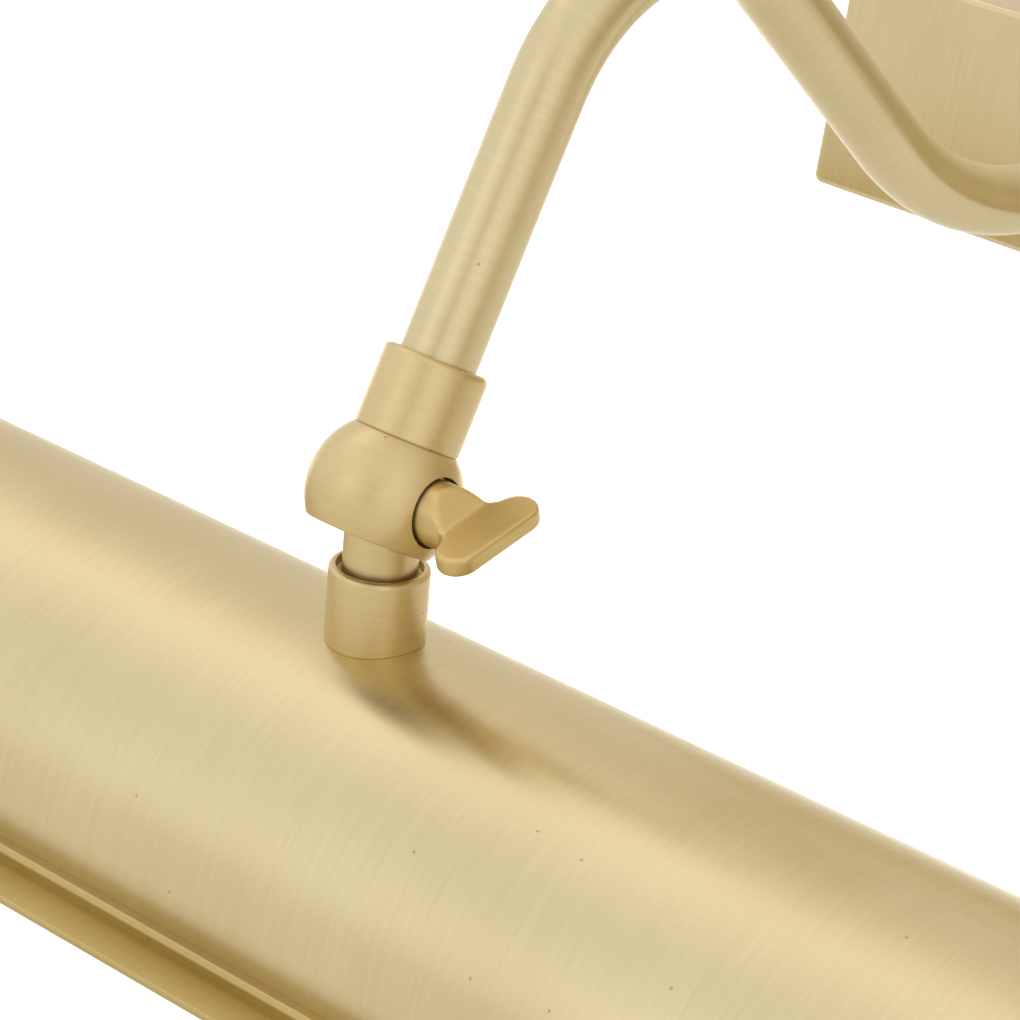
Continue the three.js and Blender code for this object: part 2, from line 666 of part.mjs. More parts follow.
function shadeCollar() {
  const { radius, bore, top, floor, rim } = COLLAR;
  const body = turned([
    [POST_THREAD_RADIUS + GAP, -SHADE.axis], [radius, -SHADE.axis], [radius, -top - rim],
    [radius - 0.3 * rim, -top - 0.3 * rim], [radius - 0.7 * rim, -top], [bore, -top], [bore, -floor],
    [POST_THREAD_RADIUS + GAP, -floor],
  ], 'z', 28);
  const saddle = placed(rod(SHADE.radius + GAP, -20, 20, 'x', 72), 0, 0, -SHADE.axis);
  const belowCrest = block([-20, -20, -90], [20, 20, -SHADE.axis + 10]);
  return body.subtract(saddle).subtract(belowCrest);
}

function knucklePost() {
  const shaft = turned([
    [0, -POST_END], [POST_THREAD_RADIUS, -POST_END], [POST_THREAD_RADIUS, -POST_SHOULDER],
    [POST_RADIUS, -POST_SHOULDER], [POST_RADIUS, POST_RADIUS], [0, POST_RADIUS],
  ]);
  const eye = rod(POST_RADIUS, -10, 10, 'x', 24).add(block([-10, -10, -40], [10, 10, 0]));
  return shaft.intersect(eye)
    .subtract(rod(POST_BORE, -40, 10, 'z', 12))
    .subtract(rod(PIN_RADIUS + GAP, -10, 10, 'x', 12));
}

function lampBracket() {
  const { half, top, thick, earX } = BRACKET;
  let bracket = block([-earX, -half, top - thick], [earX, half, top]);
  const ear = new THREE.Shape();
  ear.moveTo(-half, top);
  ear.lineTo(-half, -LAMP_DROP);
  ear.absarc(0, -LAMP_DROP, half, Math.PI, 2 * Math.PI, false);
  ear.lineTo(half, top);
  for (const from of [-earX, earX - thick]) {
    bracket = bracket.add(prism(ear, from, from + thick, 'x', 0, 10));
  }
  const nipples = placed(rod(NIPPLE.radius + GAP, -earX - 5, earX + 5, 'x'), 0, 0, -LAMP_DROP);
  return bracket.subtract(rod(POST_THREAD_RADIUS + GAP, -30, 0, 'z')).subtract(nipples);
}

// One lampholder and its lamp, on the +x side, with their axis at z = 0.
function holderBase() {
  const { start, base, radius, floor } = HOLDER;
  const seat = start + floor;
  return turned([
    [NIPPLE.bore, NIPPLE.end], [NIPPLE.radius, NIPPLE.end], [NIPPLE.radius, start],
    [HOLDER_BORE.base, start], [radius, start + 2], [radius, base], [HOLDER_BORE.base, base],
    [HOLDER_BORE.base, seat], [NIPPLE.bore, seat],
  ], 'x');
}

function holderSleeve() {
  const { base, end, radius, sleeve } = HOLDER;
  const start = base + GAP;
  return turned([
    [HOLDER_BORE.sleeve, start], [radius, start], [sleeve, base + 2], [sleeve, end - 1],
    [sleeve - 1, end], [HOLDER_BORE.sleeve, end],
  ], 'x');
}

const holderNut = () =>
  prism(hexagon(POST_NUT.acrossFlats), NIPPLE.nut, BRACKET.earX - BRACKET.thick - GAP, 'x')
    .subtract(rod(NIPPLE.radius + GAP, 0, HOLDER.base, 'x'));

function holderContact() {
  const seat = HOLDER.start + HOLDER.floor + GAP;
  const [plate, stud, leaf, tip] = [3.2, 1.4, seat + 4, seat + 6.2];
  return turned([
    [0, leaf - 1], [plate, leaf - 1], [plate, leaf], [stud, leaf], [stud, tip], [0, tip],
  ], 'x', 12);
}

function lampContact() {
  const { start } = LAMP_CAP;
  const [tip, wide] = [1.6, 2.2];
  return turned([
    [0, start - 2.2], [tip, start - 2.2], [wide, start - 1.2], [wide, start], [0, start],
  ], 'x', 12);
}

function lampCap() {
  const { start, end, radius, bore, hole } = LAMP_CAP;
  return turned([
    [hole, start], [hole + 2, start], [radius, start + 1.8], [radius, end], [bore, end],
    [bore, start + 2.4], [hole + 1.6, start + 1], [hole, start + 1],
  ], 'x');
}

function lampEnvelope() {
  const { start, neck, shoulder, body, dome, end } = GLASS;
  const arcSteps = 4;
  const side = (inset) => {
    const radius = GLASS.radius - inset;
    const points = [[neck - inset, start], [neck - inset, shoulder], [radius, body]];
    for (let i = 0; i < arcSteps; i += 1) {
      const angle = (i * Math.PI) / (2 * arcSteps);
      points.push([radius * Math.cos(angle), end - dome + (dome - inset) * Math.sin(angle)]);
    }
    return [...points, [0, end - inset]];
  };
  return turned([...side(0), ...side(GLASS.wall).reverse()], 'x', 16);
}

function shadeLead(side) {
  const points = [
    [LEAD_OFFSET, 0, -3.2], [LEAD_OFFSET, 0, -16], [LEAD_OFFSET, 0, -POST_END + 2],
    [2, 0, -POST_END - 3], [7, 0, -LAMP_DROP + 1], [15, 0, -LAMP_DROP], [22, 0, -LAMP_DROP],
    [BRACKET.earX + 3, 0, -LAMP_DROP],
  ].map(([x, y, z]) => new THREE.Vector3(side * x, y, z));
  const curve = new THREE.CatmullRomCurve3(points, false, 'centripetal');
  return swept(circleShape(LEAD_RADIUS, 6), curve, 20);
}

function shadeGroup() {
  const group = new THREE.Group();
  group.position.set(...PIVOT);
  group.rotation.x = radians(SHADE_TILT);
  const bore = POST_THREAD_RADIUS + GAP;
  const washer = tube(POST_WASHER.radius, bore, POST_WASHER.low, POST_WASHER.high, 'z');
  const nut = prism(hexagon(POST_NUT.acrossFlats), POST_NUT.low, POST_NUT.high, 'z')
    .subtract(rod(bore, -LAMP_DROP, 0, 'z'));
  group.add(
    part('shade_shell', shadeShell(), 'satinBrass'),
    part('shade_end_left', endCap(-1), 'satinBrass'),
    part('shade_end_right', endCap(1), 'satinBrass'),
    part('shade_collar', shadeCollar(), 'satinBrass'),
    part('knuckle_post', knucklePost(), 'satinBrass'),
    part('lamp_bracket', lampBracket(), 'zincSteel'),
    part('post_washer', washer, 'zincSteel'),
    part('post_nut', nut, 'plainBrass'),
  );
  const pieces = {
    holder_base: [holderBase, 'blackResin'],
    holder_sleeve: [holderSleeve, 'blackResin'],
    holder_nut: [holderNut, 'plainBrass'],
    holder_contact: [holderContact, 'plainBrass'],
    lamp_contact: [lampContact, 'zincSteel'],
    lamp_cap: [lampCap, 'plainBrass'],
    lamp_envelope: [lampEnvelope, 'clearGlass'],
  };
  for (const [side, word] of [[-1, 'left'], [1, 'right']]) {
    for (const [name, [make, material]] of Object.entries(pieces)) {
      const piece = side > 0 ? make() : make().mirror([1, 0, 0]);
      group.add(part(`${name}_${word}`, placed(piece, 0, 0, -LAMP_DROP), material));
    }
    group.add(part(`shade_lead_${word}`, shadeLead(side), side > 0 ? 'brownSleeve' : 'blueSleeve'));
  }
  return group;
}

// ---------------------------------------------------------------- assembly
const pictureLight = new THREE.Group();
pictureLight.name = 'picture_light';
pictureLight.add(wallGroup(), armGroup(), socketGroup(), wingGroup(), shadeGroup());

export default pictureLight;
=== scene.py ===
"""Looks of a satin-brass picture light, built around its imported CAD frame.

The scene is in metres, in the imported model's frame: +X along the shade, +Y into the wall, +Z up.
Shapes are written in millimetres in the frame of the sub-assembly they belong to, and placed by it.
"""

import json
from math import acos, asin, atan2, cos, degrees, hypot, pi, radians, sin, sqrt, tan

import bmesh
import bpy
from mathutils import Matrix, Vector


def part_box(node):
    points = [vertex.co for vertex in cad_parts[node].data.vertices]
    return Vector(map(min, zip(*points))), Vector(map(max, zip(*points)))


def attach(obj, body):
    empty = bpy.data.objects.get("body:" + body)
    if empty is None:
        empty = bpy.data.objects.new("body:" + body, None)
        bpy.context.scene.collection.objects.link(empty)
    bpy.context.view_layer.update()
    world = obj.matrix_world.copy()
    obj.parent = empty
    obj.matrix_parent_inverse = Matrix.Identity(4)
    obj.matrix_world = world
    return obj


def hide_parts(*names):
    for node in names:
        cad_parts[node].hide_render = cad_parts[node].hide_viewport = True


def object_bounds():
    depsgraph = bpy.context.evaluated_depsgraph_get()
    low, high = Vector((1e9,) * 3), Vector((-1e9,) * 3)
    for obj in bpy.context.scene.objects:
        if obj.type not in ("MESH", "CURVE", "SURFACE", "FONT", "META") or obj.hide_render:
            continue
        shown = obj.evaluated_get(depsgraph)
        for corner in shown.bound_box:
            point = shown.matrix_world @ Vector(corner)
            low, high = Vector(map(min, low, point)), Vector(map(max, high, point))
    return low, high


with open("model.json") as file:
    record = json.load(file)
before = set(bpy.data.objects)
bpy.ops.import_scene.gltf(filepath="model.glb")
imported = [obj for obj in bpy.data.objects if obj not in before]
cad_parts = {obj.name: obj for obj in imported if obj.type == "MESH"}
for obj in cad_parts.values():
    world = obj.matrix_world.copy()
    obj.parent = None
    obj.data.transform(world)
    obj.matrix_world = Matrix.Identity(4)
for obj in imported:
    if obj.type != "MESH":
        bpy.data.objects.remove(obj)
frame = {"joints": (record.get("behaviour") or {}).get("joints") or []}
CAD_LOW, CAD_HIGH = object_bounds()

MM = 0.001
TAU = 2 * pi

# ------------------------ the frames the shapes are drawn in
JOINTS = {joint["name"]: joint for joint in frame["joints"]}
PIVOT = Vector(JOINTS["shade_tilt"]["pos_m"])
RISER_ANGLE = 70.7
SHADE_TILT = 7.13
WING_LEAN = 22.5
SEAM = radians(130)  # where turned pieces' UVs meet, away from the usual front


def quarter(axis, turns=1):
    return Matrix.Rotation(radians(90 * turns), 4, axis)


def leaning(angle):
    """The frame at the pivot, turned about the shade's axis."""
    return Matrix.Translation(PIVOT) @ Matrix.Rotation(radians(angle), 4, "X")


WALL = Matrix.Identity(4)
ARM = leaning(0)
SOCKET = leaning(RISER_ANGLE - 90)
SHADE = leaning(SHADE_TILT)
WING = leaning(WING_LEAN)
Z_TO_X = quarter("Y")
Z_TO_MINUS_X = quarter("Y", -1)
Z_TO_Y = quarter("X", -1)
Z_TO_MINUS_Y = quarter("X")
X_UP = Matrix(((0, 1, 0), (0, 0, 1), (1, 0, 0))).to_4x4()  # x to z, y to x, z to y
X_TO_MINUS_Y = quarter("Z", -1)


def shift(x, y, z):
    return Matrix.Translation((x * MM, y * MM, z * MM))


def cad_box(node):
    """The low and high corner of a CAD node's box, in millimetres."""
    return tuple(Vector(corner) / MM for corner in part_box(node))


# ------------------------ outlines
def rounded(corners, closed=False, steps=6):
    """A polyline through (x, y) corners, where a corner (x, y, radius) becomes an arc."""
    out = []
    count = len(corners)
    for i, corner in enumerate(corners):
        at = Vector(corner[:2])
        radius = corner[2] if len(corner) > 2 else 0
        if radius == 0 or (not closed and i in (0, count - 1)):
            out.append(tuple(at))
            continue
        before = (Vector(corners[i - 1][:2]) - at).normalized()
        after = (Vector(corners[(i + 1) % count][:2]) - at).normalized()
        half = before.angle(after) / 2
        centre = at + (before + after).normalized() * radius / sin(half)
        start = at + before * radius / tan(half) - centre
        end = at + after * radius / tan(half) - centre
        sweep = start.angle_signed(end)
        for k in range(steps + 1):
            turn = -sweep * k / steps
            out.append((centre.x + start.x * cos(turn) - start.y * sin(turn),
                        centre.y + start.x * sin(turn) + start.y * cos(turn)))
    return out


def arc(centre, radius, start, end, steps):
    """Points of an arc from one angle to another, in degrees."""
    points = []
    for k in range(steps + 1):
        angle = radians(start + (end - start) * k / steps)
        points.append((centre[0] + radius * cos(angle), centre[1] + radius * sin(angle)))
    return points


def lengths(points, closed=False):
    """Distance along a polyline at each point, and at its return to the first if it is closed."""
    total = [0.0]
    path = [Vector(p) for p in points]
    if closed:
        path.append(path[0])
    for a, b in zip(path, path[1:]):
        total.append(total[-1] + (b - a).length)
    return total


# ------------------------ meshes
def linked(name, data, place=Matrix.Identity(4)):
    """A new object in the scene with this data."""
    holder = bpy.data.objects.new(name, data)
    bpy.context.scene.collection.objects.link(holder)
    holder.matrix_world = place
    return holder


def make_object(name, points, faces, uvs, place, crease=35):
    """An object from points in millimetres, placed by a matrix, with a UV pair in millimetres per corner."""
    mesh = bpy.data.meshes.new(name)
    mesh.from_pydata([Vector(p) * MM for p in points], [], faces)
    layer = mesh.uv_layers.new(name="UVMap")
    flat = [value for face in uvs for pair in face for value in pair]
    layer.data.foreach_set("uv", flat)
    piece = linked(name, mesh, place)
    tidy(piece, crease)
    return piece


def tidy(piece, crease=35):
    """Merges doubled points, turns every face outwards and shades it smooth up to a crease angle."""
    net = bmesh.new()
    net.from_mesh(piece.data)
    bmesh.ops.remove_doubles(net, verts=net.verts, dist=1e-7)
    bmesh.ops.dissolve_degenerate(net, edges=net.edges, dist=1e-8)
    bmesh.ops.recalc_face_normals(net, faces=net.faces)
    net.to_mesh(piece.data)
    net.free()
    piece.data.shade_smooth()
    piece.data.set_sharp_from_angle(angle=radians(crease))


def skin(rings, across, along, close_ring, close_run=False):
    """Quads between rings of points, with UVs from the distances across a ring and along the run."""
    size = len(rings[0])
    points = [p for ring in rings for p in ring]
    faces, uvs = [], []
    for i in range(len(rings) if close_run else len(rings) - 1):
        a, b = i * size, (i + 1) % len(rings) * size
        for j in range(size if close_ring else size - 1):
            k = (j + 1) % size
            faces.append((a + j, a + k, b + k, b + j))
            uvs.append([(across[j], along[i]), (across[j + 1], along[i]),
                        (across[j + 1], along[i + 1]), (across[j], along[i + 1])])
    return points, faces, uvs


def straight(radius, low, high, step=0.1):
    """Closely spaced points of a straight side, for a thread or ribs to be raised on."""
    count = max(1, round(abs(high - low) / step))
    return [(radius, low + (high - low) * i / count) for i in range(count + 1)]


def thread(pitch, depth, low, high):
    """Relief of a screw thread between two heights."""
    return lambda angle, z: depth * sin(TAU * z / pitch + angle) if low <= z <= high else 0.0


def ribs(count, depth, low, high):
    """Relief of upright ribs between two heights."""
    return lambda angle, z: depth * cos(count * angle) if low <= z <= high else 0.0


def turned(name, profile, place, segments=96, closed=False, relief=None, crease=35):
    """A solid of revolution about the placed z axis, with its sides raised by relief(angle, height)."""
    if closed:
        profile = [*profile, profile[0]]
    widest = max(radius for radius, _ in profile)
    rings = []
    for radius, height in profile:
        ring = []
        for j in range(segments):
            angle = SEAM + TAU * j / segments
            r = radius + (relief(angle, height) if relief else 0.0)
            ring.append((r * cos(angle), r * sin(angle), height))
        rings.append(ring)
    across = [TAU * widest * j / segments for j in range(segments + 1)]
    points, faces, uvs = skin(rings, across, lengths(profile), True)
    return make_object(name, points, faces, uvs, place, crease)


def extruded(name, outline, low, high, place, segments=1, crease=35):
    """A closed (y, z) outline pushed along the placed x axis, with its ends closed."""
    rings = []
    stations = [low + (high - low) * i / segments for i in range(segments + 1)]
    for x in stations:
        rings.append([(x, y, z) for y, z in outline])
    points, faces, uvs = skin(rings, lengths(outline, closed=True), stations, True)
    size = len(outline)
    for ring in (range(size), range(segments * size, (segments + 1) * size)):
        faces.append(tuple(ring))
        uvs.append([points[i][1:] for i in ring])
    return make_object(name, points, faces, uvs, place, crease)


def swept(name, centres, radius, place, sides=24, bore=0):
    """A round tube or wire along points, with its ends closed or, with a bore, hollow."""
    path = [Vector(p) for p in centres]
    rings, hollow = [], []
    runs_sideways = abs((path[1] - path[0]).normalized().x) > 0.9
    side = Vector((0, 1, 0)) if runs_sideways else Vector((1, 0, 0))
    for i, at in enumerate(path):
        ahead = (path[min(i + 1, len(path) - 1)] - path[max(i - 1, 0)]).normalized()
        side = (side - ahead * side.dot(ahead)).normalized()
        up = ahead.cross(side)
        spokes = [side * cos(TAU * j / sides) + up * sin(TAU * j / sides) for j in range(sides)]
        rings.append([at + spoke * radius for spoke in spokes])
        hollow.append([at + spoke * bore for spoke in spokes])
    run = lengths(path)
    across = [TAU * radius * j / sides for j in range(sides + 1)]
    if bore > 0:
        rings += hollow[::-1]
        run = run + [run[-1] * 2 - value for value in run[::-1]] + [run[-1] * 2]
        points, faces, uvs = skin(rings, across, run, True, close_run=True)
    else:
        points, faces, uvs = skin(rings, across, run, True)
        for start in (0, (len(rings) - 1) * sides):
            faces.append(tuple(range(start, start + sides)))
            uvs.append([(0, 0)] * sides)
    return make_object(name, points, faces, uvs, place)


def box_uv(piece):
    """UVs in millimetres from the side of a box that each face looks to, with u up the sides."""
    layer = piece.data.uv_layers.active or piece.data.uv_layers.new(name="UVMap")
    for face in piece.data.polygons:
        x, y, z = (abs(value) for value in face.normal)
        for loop in face.loop_indices:
            at = piece.data.vertices[piece.data.loops[loop].vertex_index].co / MM
            if y >= x and y >= z:
                layer.data[loop].uv = (at.z, at.x)
            elif x >= z:
                layer.data[loop].uv = (at.z, at.y)
            else:
                layer.data[loop].uv = (at.y, at.x)


def apply_modifiers(piece):
    bpy.context.view_layer.update()
    graph = bpy.context.evaluated_depsgraph_get()
    mesh = bpy.data.meshes.new_from_object(piece.evaluated_get(graph))
    piece.modifiers.clear()
    piece.data = mesh


def combine(piece, operation, *cutters):
    """Joins, cuts or intersects a piece with others, which are used up."""
    for cutter in cutters:
        step = piece.modifiers.new("combine", "BOOLEAN")
        step.operation = operation
        step.solver = "EXACT"
        step.object = cutter
    apply_modifiers(piece)
    for cutter in cutters:
        bpy.data.objects.remove(cutter)
    return piece


def cut(piece, *cutters):
    return combine(piece, "DIFFERENCE", *cutters)


def soften(piece, width, angle=30, segments=3, crease=35):
    """Rounds every edge sharper than an angle, by a width in millimetres."""
    step = piece.modifiers.new("soften", "BEVEL")
    step.width = width * MM
    step.segments = segments
    step.limit_method = "ANGLE"
    step.angle_limit = radians(angle)
    step.use_clamp_overlap = True
    apply_modifiers(piece)
    tidy(piece, crease)
    return piece


def rod(radius, low, high, place, segments=64):
    """A plain cylinder along the placed z axis, used to cut with."""
    return turned("cutter", [(0, low), (radius, low), (radius, high), (0, high)], place, segments)


def slab(low, high, place):
    """A plain box between two corners, used to cut with."""
    outline = [(low[1], low[2]), (high[1], low[2]), (high[1], high[2]), (low[1], high[2])]
    return extruded("cutter", outline, low[0], high[0], place)


# ------------------------ materials
class Nodes:
    """The node tree of a new material or of the world, with each node added and linked in one call."""

    def __init__(self, name, world=False):
        owner = bpy.data.worlds.new(name) if world else bpy.data.materials.new(name)
        owner.use_nodes = True
        self.owner = owner
        self.tree = owner.node_tree
        self.shader = self.tree.nodes["Background" if world else "Principled BSDF"]

    def add(self, kind, settings=None, **inputs):
        node = self.tree.nodes.new(kind)
        for key, value in (settings or {}).items():
            setattr(node, key, value)
        for key, value in inputs.items():
            self.put(node, key.replace("_", " "), value)
        return node

    def put(self, node, key, value):
        socket = node.inputs[int(key[1:])] if key[0] == "i" and key[1:].isdigit() else node.inputs[key]
        if isinstance(value, bpy.types.NodeSocket):
            self.tree.links.new(value, socket)
        else:
            socket.default_value = value

    def shade(self, **inputs):
        for key, value in inputs.items():
            self.put(self.shader, key.replace("_", " "), value)

    def stretched(self, source, scale, detail=3.0, roughness=0.55):
        """Noise whose grain is stretched by a different scale on each axis."""
        mapping = self.add("ShaderNodeMapping", Scale=scale, Vector=source)
        noise = self.add("ShaderNodeTexNoise", Scale=1.0, Detail=detail, Roughness=roughness,
                         Vector=mapping.outputs["Vector"])
        return noise.outputs["Fac"]

    def object_place(self):
        return self.add("ShaderNodeTexCoord").outputs["Object"]

    def bump(self, height, strength, distance):
        return self.add("ShaderNodeBump", Strength=strength, Distance=distance, Height=height).outputs[0]

    def remap(self, value, low, high, to_low, to_high):
        node = self.add("ShaderNodeMapRange", i0=value, i1=low, i2=high, i3=to_low, i4=to_high)
        return node.outputs[0]

    def math(self, operation, a, b=0.0):
        return self.add("ShaderNodeMath", {"operation": operation}, i0=a, i1=b).outputs[0]

    def mix(self, factor, a, b, blend="MIX"):
        node = self.add("ShaderNodeMix", {"data_type": "RGBA", "blend_type": blend}, i0=factor, i6=a, i7=b)
        return node.outputs[2]


def linear(red, green, blue):
    """A display colour from 0 to 255 as a linear colour."""
    def curve(value):
        value /= 255
        return value / 12.92 if value <= 0.04045 else ((value + 0.055) / 1.055) ** 2.4
    return (curve(red), curve(green), curve(blue), 1.0)


BRASS_SPECK = linear(120, 84, 44)


# Painted shade in the shade's lip: the darker tint, and the heights where it starts, is strongest and fades
LIP_SHADE_TINT = (0.74, 0.66, 0.45, 1.0)
LIP_SHADE_TOP, LEDGE, FLANGE_TOP, FLANGE_FOOT = -46.5, -51.5, -54.0, -59.0  # heights in the shade's frame


def brushed_brass(name, light, deep, by_uv=True, rough=0.31, grain=1.0, lip=False):
    """Satin brass: hair lines along u, faint tonal drift, and a few dark specks under the lacquer.

    With a lip, shade is painted into the shade's lip: the brass darkens from above the ledge, is darkest
    just below it, and eases to half at the flange's foot.
    """
    n = Nodes(name)
    coordinates = n.add("ShaderNodeTexCoord")
    if by_uv:
        place = coordinates.outputs["UV"]
    else:
        place = n.add("ShaderNodeVectorMath", {"operation": "SCALE"}, i0=coordinates.outputs["Object"],
                      i3=1000.0).outputs[0]
    hair = n.stretched(place, (0.09, 5.0 * grain, 5.0 * grain), detail=4.0, roughness=0.65)
    strand = n.stretched(place, (0.05, 1.1 * grain, 1.1 * grain), detail=2.0)
    drift = n.stretched(place, (0.035, 0.035, 0.035), detail=2.0)
    grainy = n.math("ADD", n.math("MULTIPLY", hair, 0.6), n.math("MULTIPLY", strand, 0.4))
    tone = n.math("ADD", n.math("MULTIPLY", grainy, 0.65), n.math("MULTIPLY", drift, 0.35))
    colour = n.mix(n.remap(tone, 0.3, 0.7, 0.0, 1.0), deep, light)
    flat_or_deep = {"feature": "F1", "voronoi_dimensions": "2D" if by_uv else "3D"}
    cells = n.add("ShaderNodeTexVoronoi", flat_or_deep, Scale=0.11, Vector=place)
    dot = n.remap(cells.outputs["Distance"], 0.012, 0.03, 1.0, 0.0)
    kept = n.add("ShaderNodeSeparateColor", i0=cells.outputs["Color"])
    speck = n.math("MULTIPLY", dot, n.math("GREATER_THAN", kept.outputs[0], 0.86))
    colour = n.mix(n.math("MULTIPLY", speck, 0.5), colour, BRASS_SPECK)
    if lip:
        # painted shade: darker towards the ledge, strongest below it, halved by the flange's foot
        height = n.add("ShaderNodeSeparateXYZ", i0=coordinates.outputs["Object"]).outputs["Z"]
        side = n.remap(height, LEDGE * MM, LIP_SHADE_TOP * MM, 0.4, 0.0)
        ledge = n.remap(height, (LEDGE - 0.15) * MM, LEDGE * MM, 0.6, 0.0)
        flange = n.remap(height, FLANGE_FOOT * MM, FLANGE_TOP * MM, 0.5, 1.0)
        lip_shade_mask = n.math("MULTIPLY", n.math("ADD", side, ledge), flange)
        colour = n.mix(lip_shade_mask, colour, LIP_SHADE_TINT, blend="MULTIPLY")
    roughness = n.math("ADD", n.remap(grainy, 0.3, 0.7, rough - 0.03, rough + 0.03),
                       n.math("MULTIPLY", n.math("SUBTRACT", drift, 0.5), 0.05))
    n.shade(Base_Color=colour, Metallic=1.0, Roughness=roughness, Normal=n.bump(grainy, 0.06, 0.00004),
            Anisotropic=0.7, Anisotropic_Rotation=0.25, Coat_Weight=0.15, Coat_Roughness=0.3)
    if by_uv:
        tangent = n.add("ShaderNodeTangent", {"direction_type": "UV_MAP", "uv_map": "UVMap"})
        n.shade(Tangent=tangent.outputs[0])
    return n.owner


def turned_brass(name):
    """Plain machined brass of nuts, inserts and lamp caps, with tool marks and dull stains."""
    n = Nodes(name)
    place = n.object_place()
    marks = n.stretched(place, (900.0, 900.0, 5200.0), detail=3.0)
    stain = n.stretched(place, (260.0, 260.0, 260.0), detail=4.0)
    colour = n.mix(n.remap(stain, 0.35, 0.7, 0.0, 1.0), linear(214, 180, 104), linear(176, 138, 72))
    n.shade(Base_Color=colour, Metallic=1.0, Roughness=n.remap(marks, 0.3, 0.7, 0.2, 0.4),
            Normal=n.bump(marks, 0.15, 0.00005))
    return n.owner


def zinc_plate(name):
    """Zinc-plated steel: bluish grey with cloudy spangle and faint rolling lines."""
    n = Nodes(name)
    place = n.object_place()
    cloud = n.stretched(place, (320.0, 320.0, 320.0), detail=5.0, roughness=0.6)
    lines = n.stretched(place, (40.0, 2400.0, 2400.0), detail=3.0)
    colour = n.mix(n.remap(cloud, 0.35, 0.65, 0.0, 1.0), linear(176, 180, 186), linear(206, 208, 210))
    height = n.math("ADD", n.math("MULTIPLY", lines, 0.5), n.math("MULTIPLY", cloud, 0.5))
    n.shade(Base_Color=colour, Metallic=1.0, Roughness=n.remap(height, 0.3, 0.7, 0.28, 0.48),
            Normal=n.bump(height, 0.15, 0.00006))
    return n.owner


def moulded(name, light, dark, rough, relief=0.1):
    """Moulded plastic or rubber with a fine eggshell surface and slight mottling."""
    n = Nodes(name)
    place = n.object_place()
    mottle = n.stretched(place, (150.0, 150.0, 150.0), detail=3.0)
    skin_grain = n.stretched(place, (3200.0, 3200.0, 3200.0), detail=2.0)
    colour = n.mix(n.remap(mottle, 0.3, 0.7, 0.0, 1.0), light, dark)
    n.shade(Base_Color=colour, Roughness=n.remap(skin_grain, 0.3, 0.7, rough - 0.05, rough + 0.08),
            Normal=n.bump(skin_grain, relief, 0.00005))
    return n.owner


def lamp_glass(name):
    """Clear blown glass, with faint drawing lines along the lamp."""
    n = Nodes(name)
    place = n.object_place()
    ripple = n.stretched(place, (25.0, 160.0, 160.0), detail=2.0)
    n.shade(Base_Color=linear(250, 252, 250), Roughness=n.remap(ripple, 0.3, 0.7, 0.0, 0.04), IOR=1.47,
            Transmission_Weight=1.0,
            Normal=n.bump(ripple, 0.05, 0.0002))
    return n.owner


def drawn_wire(name, light, dark):
    """Bare drawn metal wire with fine die lines and tarnish."""
    n = Nodes(name)
    place = n.object_place()
    lines = n.stretched(place, (300.0, 4000.0, 4000.0), detail=2.0)
    colour = n.mix(n.remap(lines, 0.3, 0.7, 0.0, 1.0), light, dark)
    n.shade(Base_Color=colour, Metallic=1.0, Roughness=n.remap(lines, 0.3, 0.7, 0.25, 0.45))
    return n.owner


SATIN = (linear(224, 209, 168), linear(208, 191, 147))  # light and deep tone of each brass
TURNED = (linear(223, 203, 154), linear(208, 185, 134))
CAST = (linear(223, 198, 140), linear(208, 180, 118))
MATERIALS = {
    "satin_brass": brushed_brass("satin_brass", *SATIN),
    # satin brass with painted shade in the shade's lip
    "brass_with_lip_shade": brushed_brass("satin_brass_lip_shade", *SATIN, lip=True),
    "turned_knuckle": brushed_brass("satin_brass_turned", *TURNED, rough=0.36),
    "cast_brass": brushed_brass("satin_brass_cast", *CAST, by_uv=False, rough=0.38, grain=0.5),
    "plain_brass": turned_brass("plain_brass"),
    "zinc_steel": zinc_plate("zinc_steel"),
    "white_nylon": moulded("white_nylon", linear(236, 233, 222), linear(222, 218, 205), 0.5),
    "black_resin": moulded("black_resin", linear(40, 36, 33), linear(26, 23, 21), 0.32),
    "black_rubber": moulded("black_rubber", linear(34, 34, 34), linear(22, 22, 22), 0.7, relief=0.2),
    "brown_sleeve": moulded("brown_sleeve", linear(104, 66, 42), linear(84, 50, 30), 0.45),
    "blue_sleeve": moulded("blue_sleeve", linear(62, 112, 168), linear(44, 88, 140), 0.45),
    "green_sleeve": moulded("green_sleeve", linear(112, 156, 60), linear(196, 190, 60), 0.45),
    "clear_glass": lamp_glass("clear_glass"),
    "copper": drawn_wire("copper", linear(222, 140, 104), linear(190, 104, 72)),
    "tungsten": drawn_wire("tungsten", linear(120, 118, 116), linear(86, 84, 84)),
}


def finished(piece, body, finish, *nodes, slot=None):
    """Gives a piece its material, its body and the CAD nodes it stands for. The slot argument is not used.
    """
    piece.data.materials.clear()
    piece.data.materials.append(MATERIALS[finish])
    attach(piece, body)
    if nodes:
        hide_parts(*nodes)
    return piece


# ------------------------ arm
TUBE_RADIUS = 5
ARM_START = 8.3


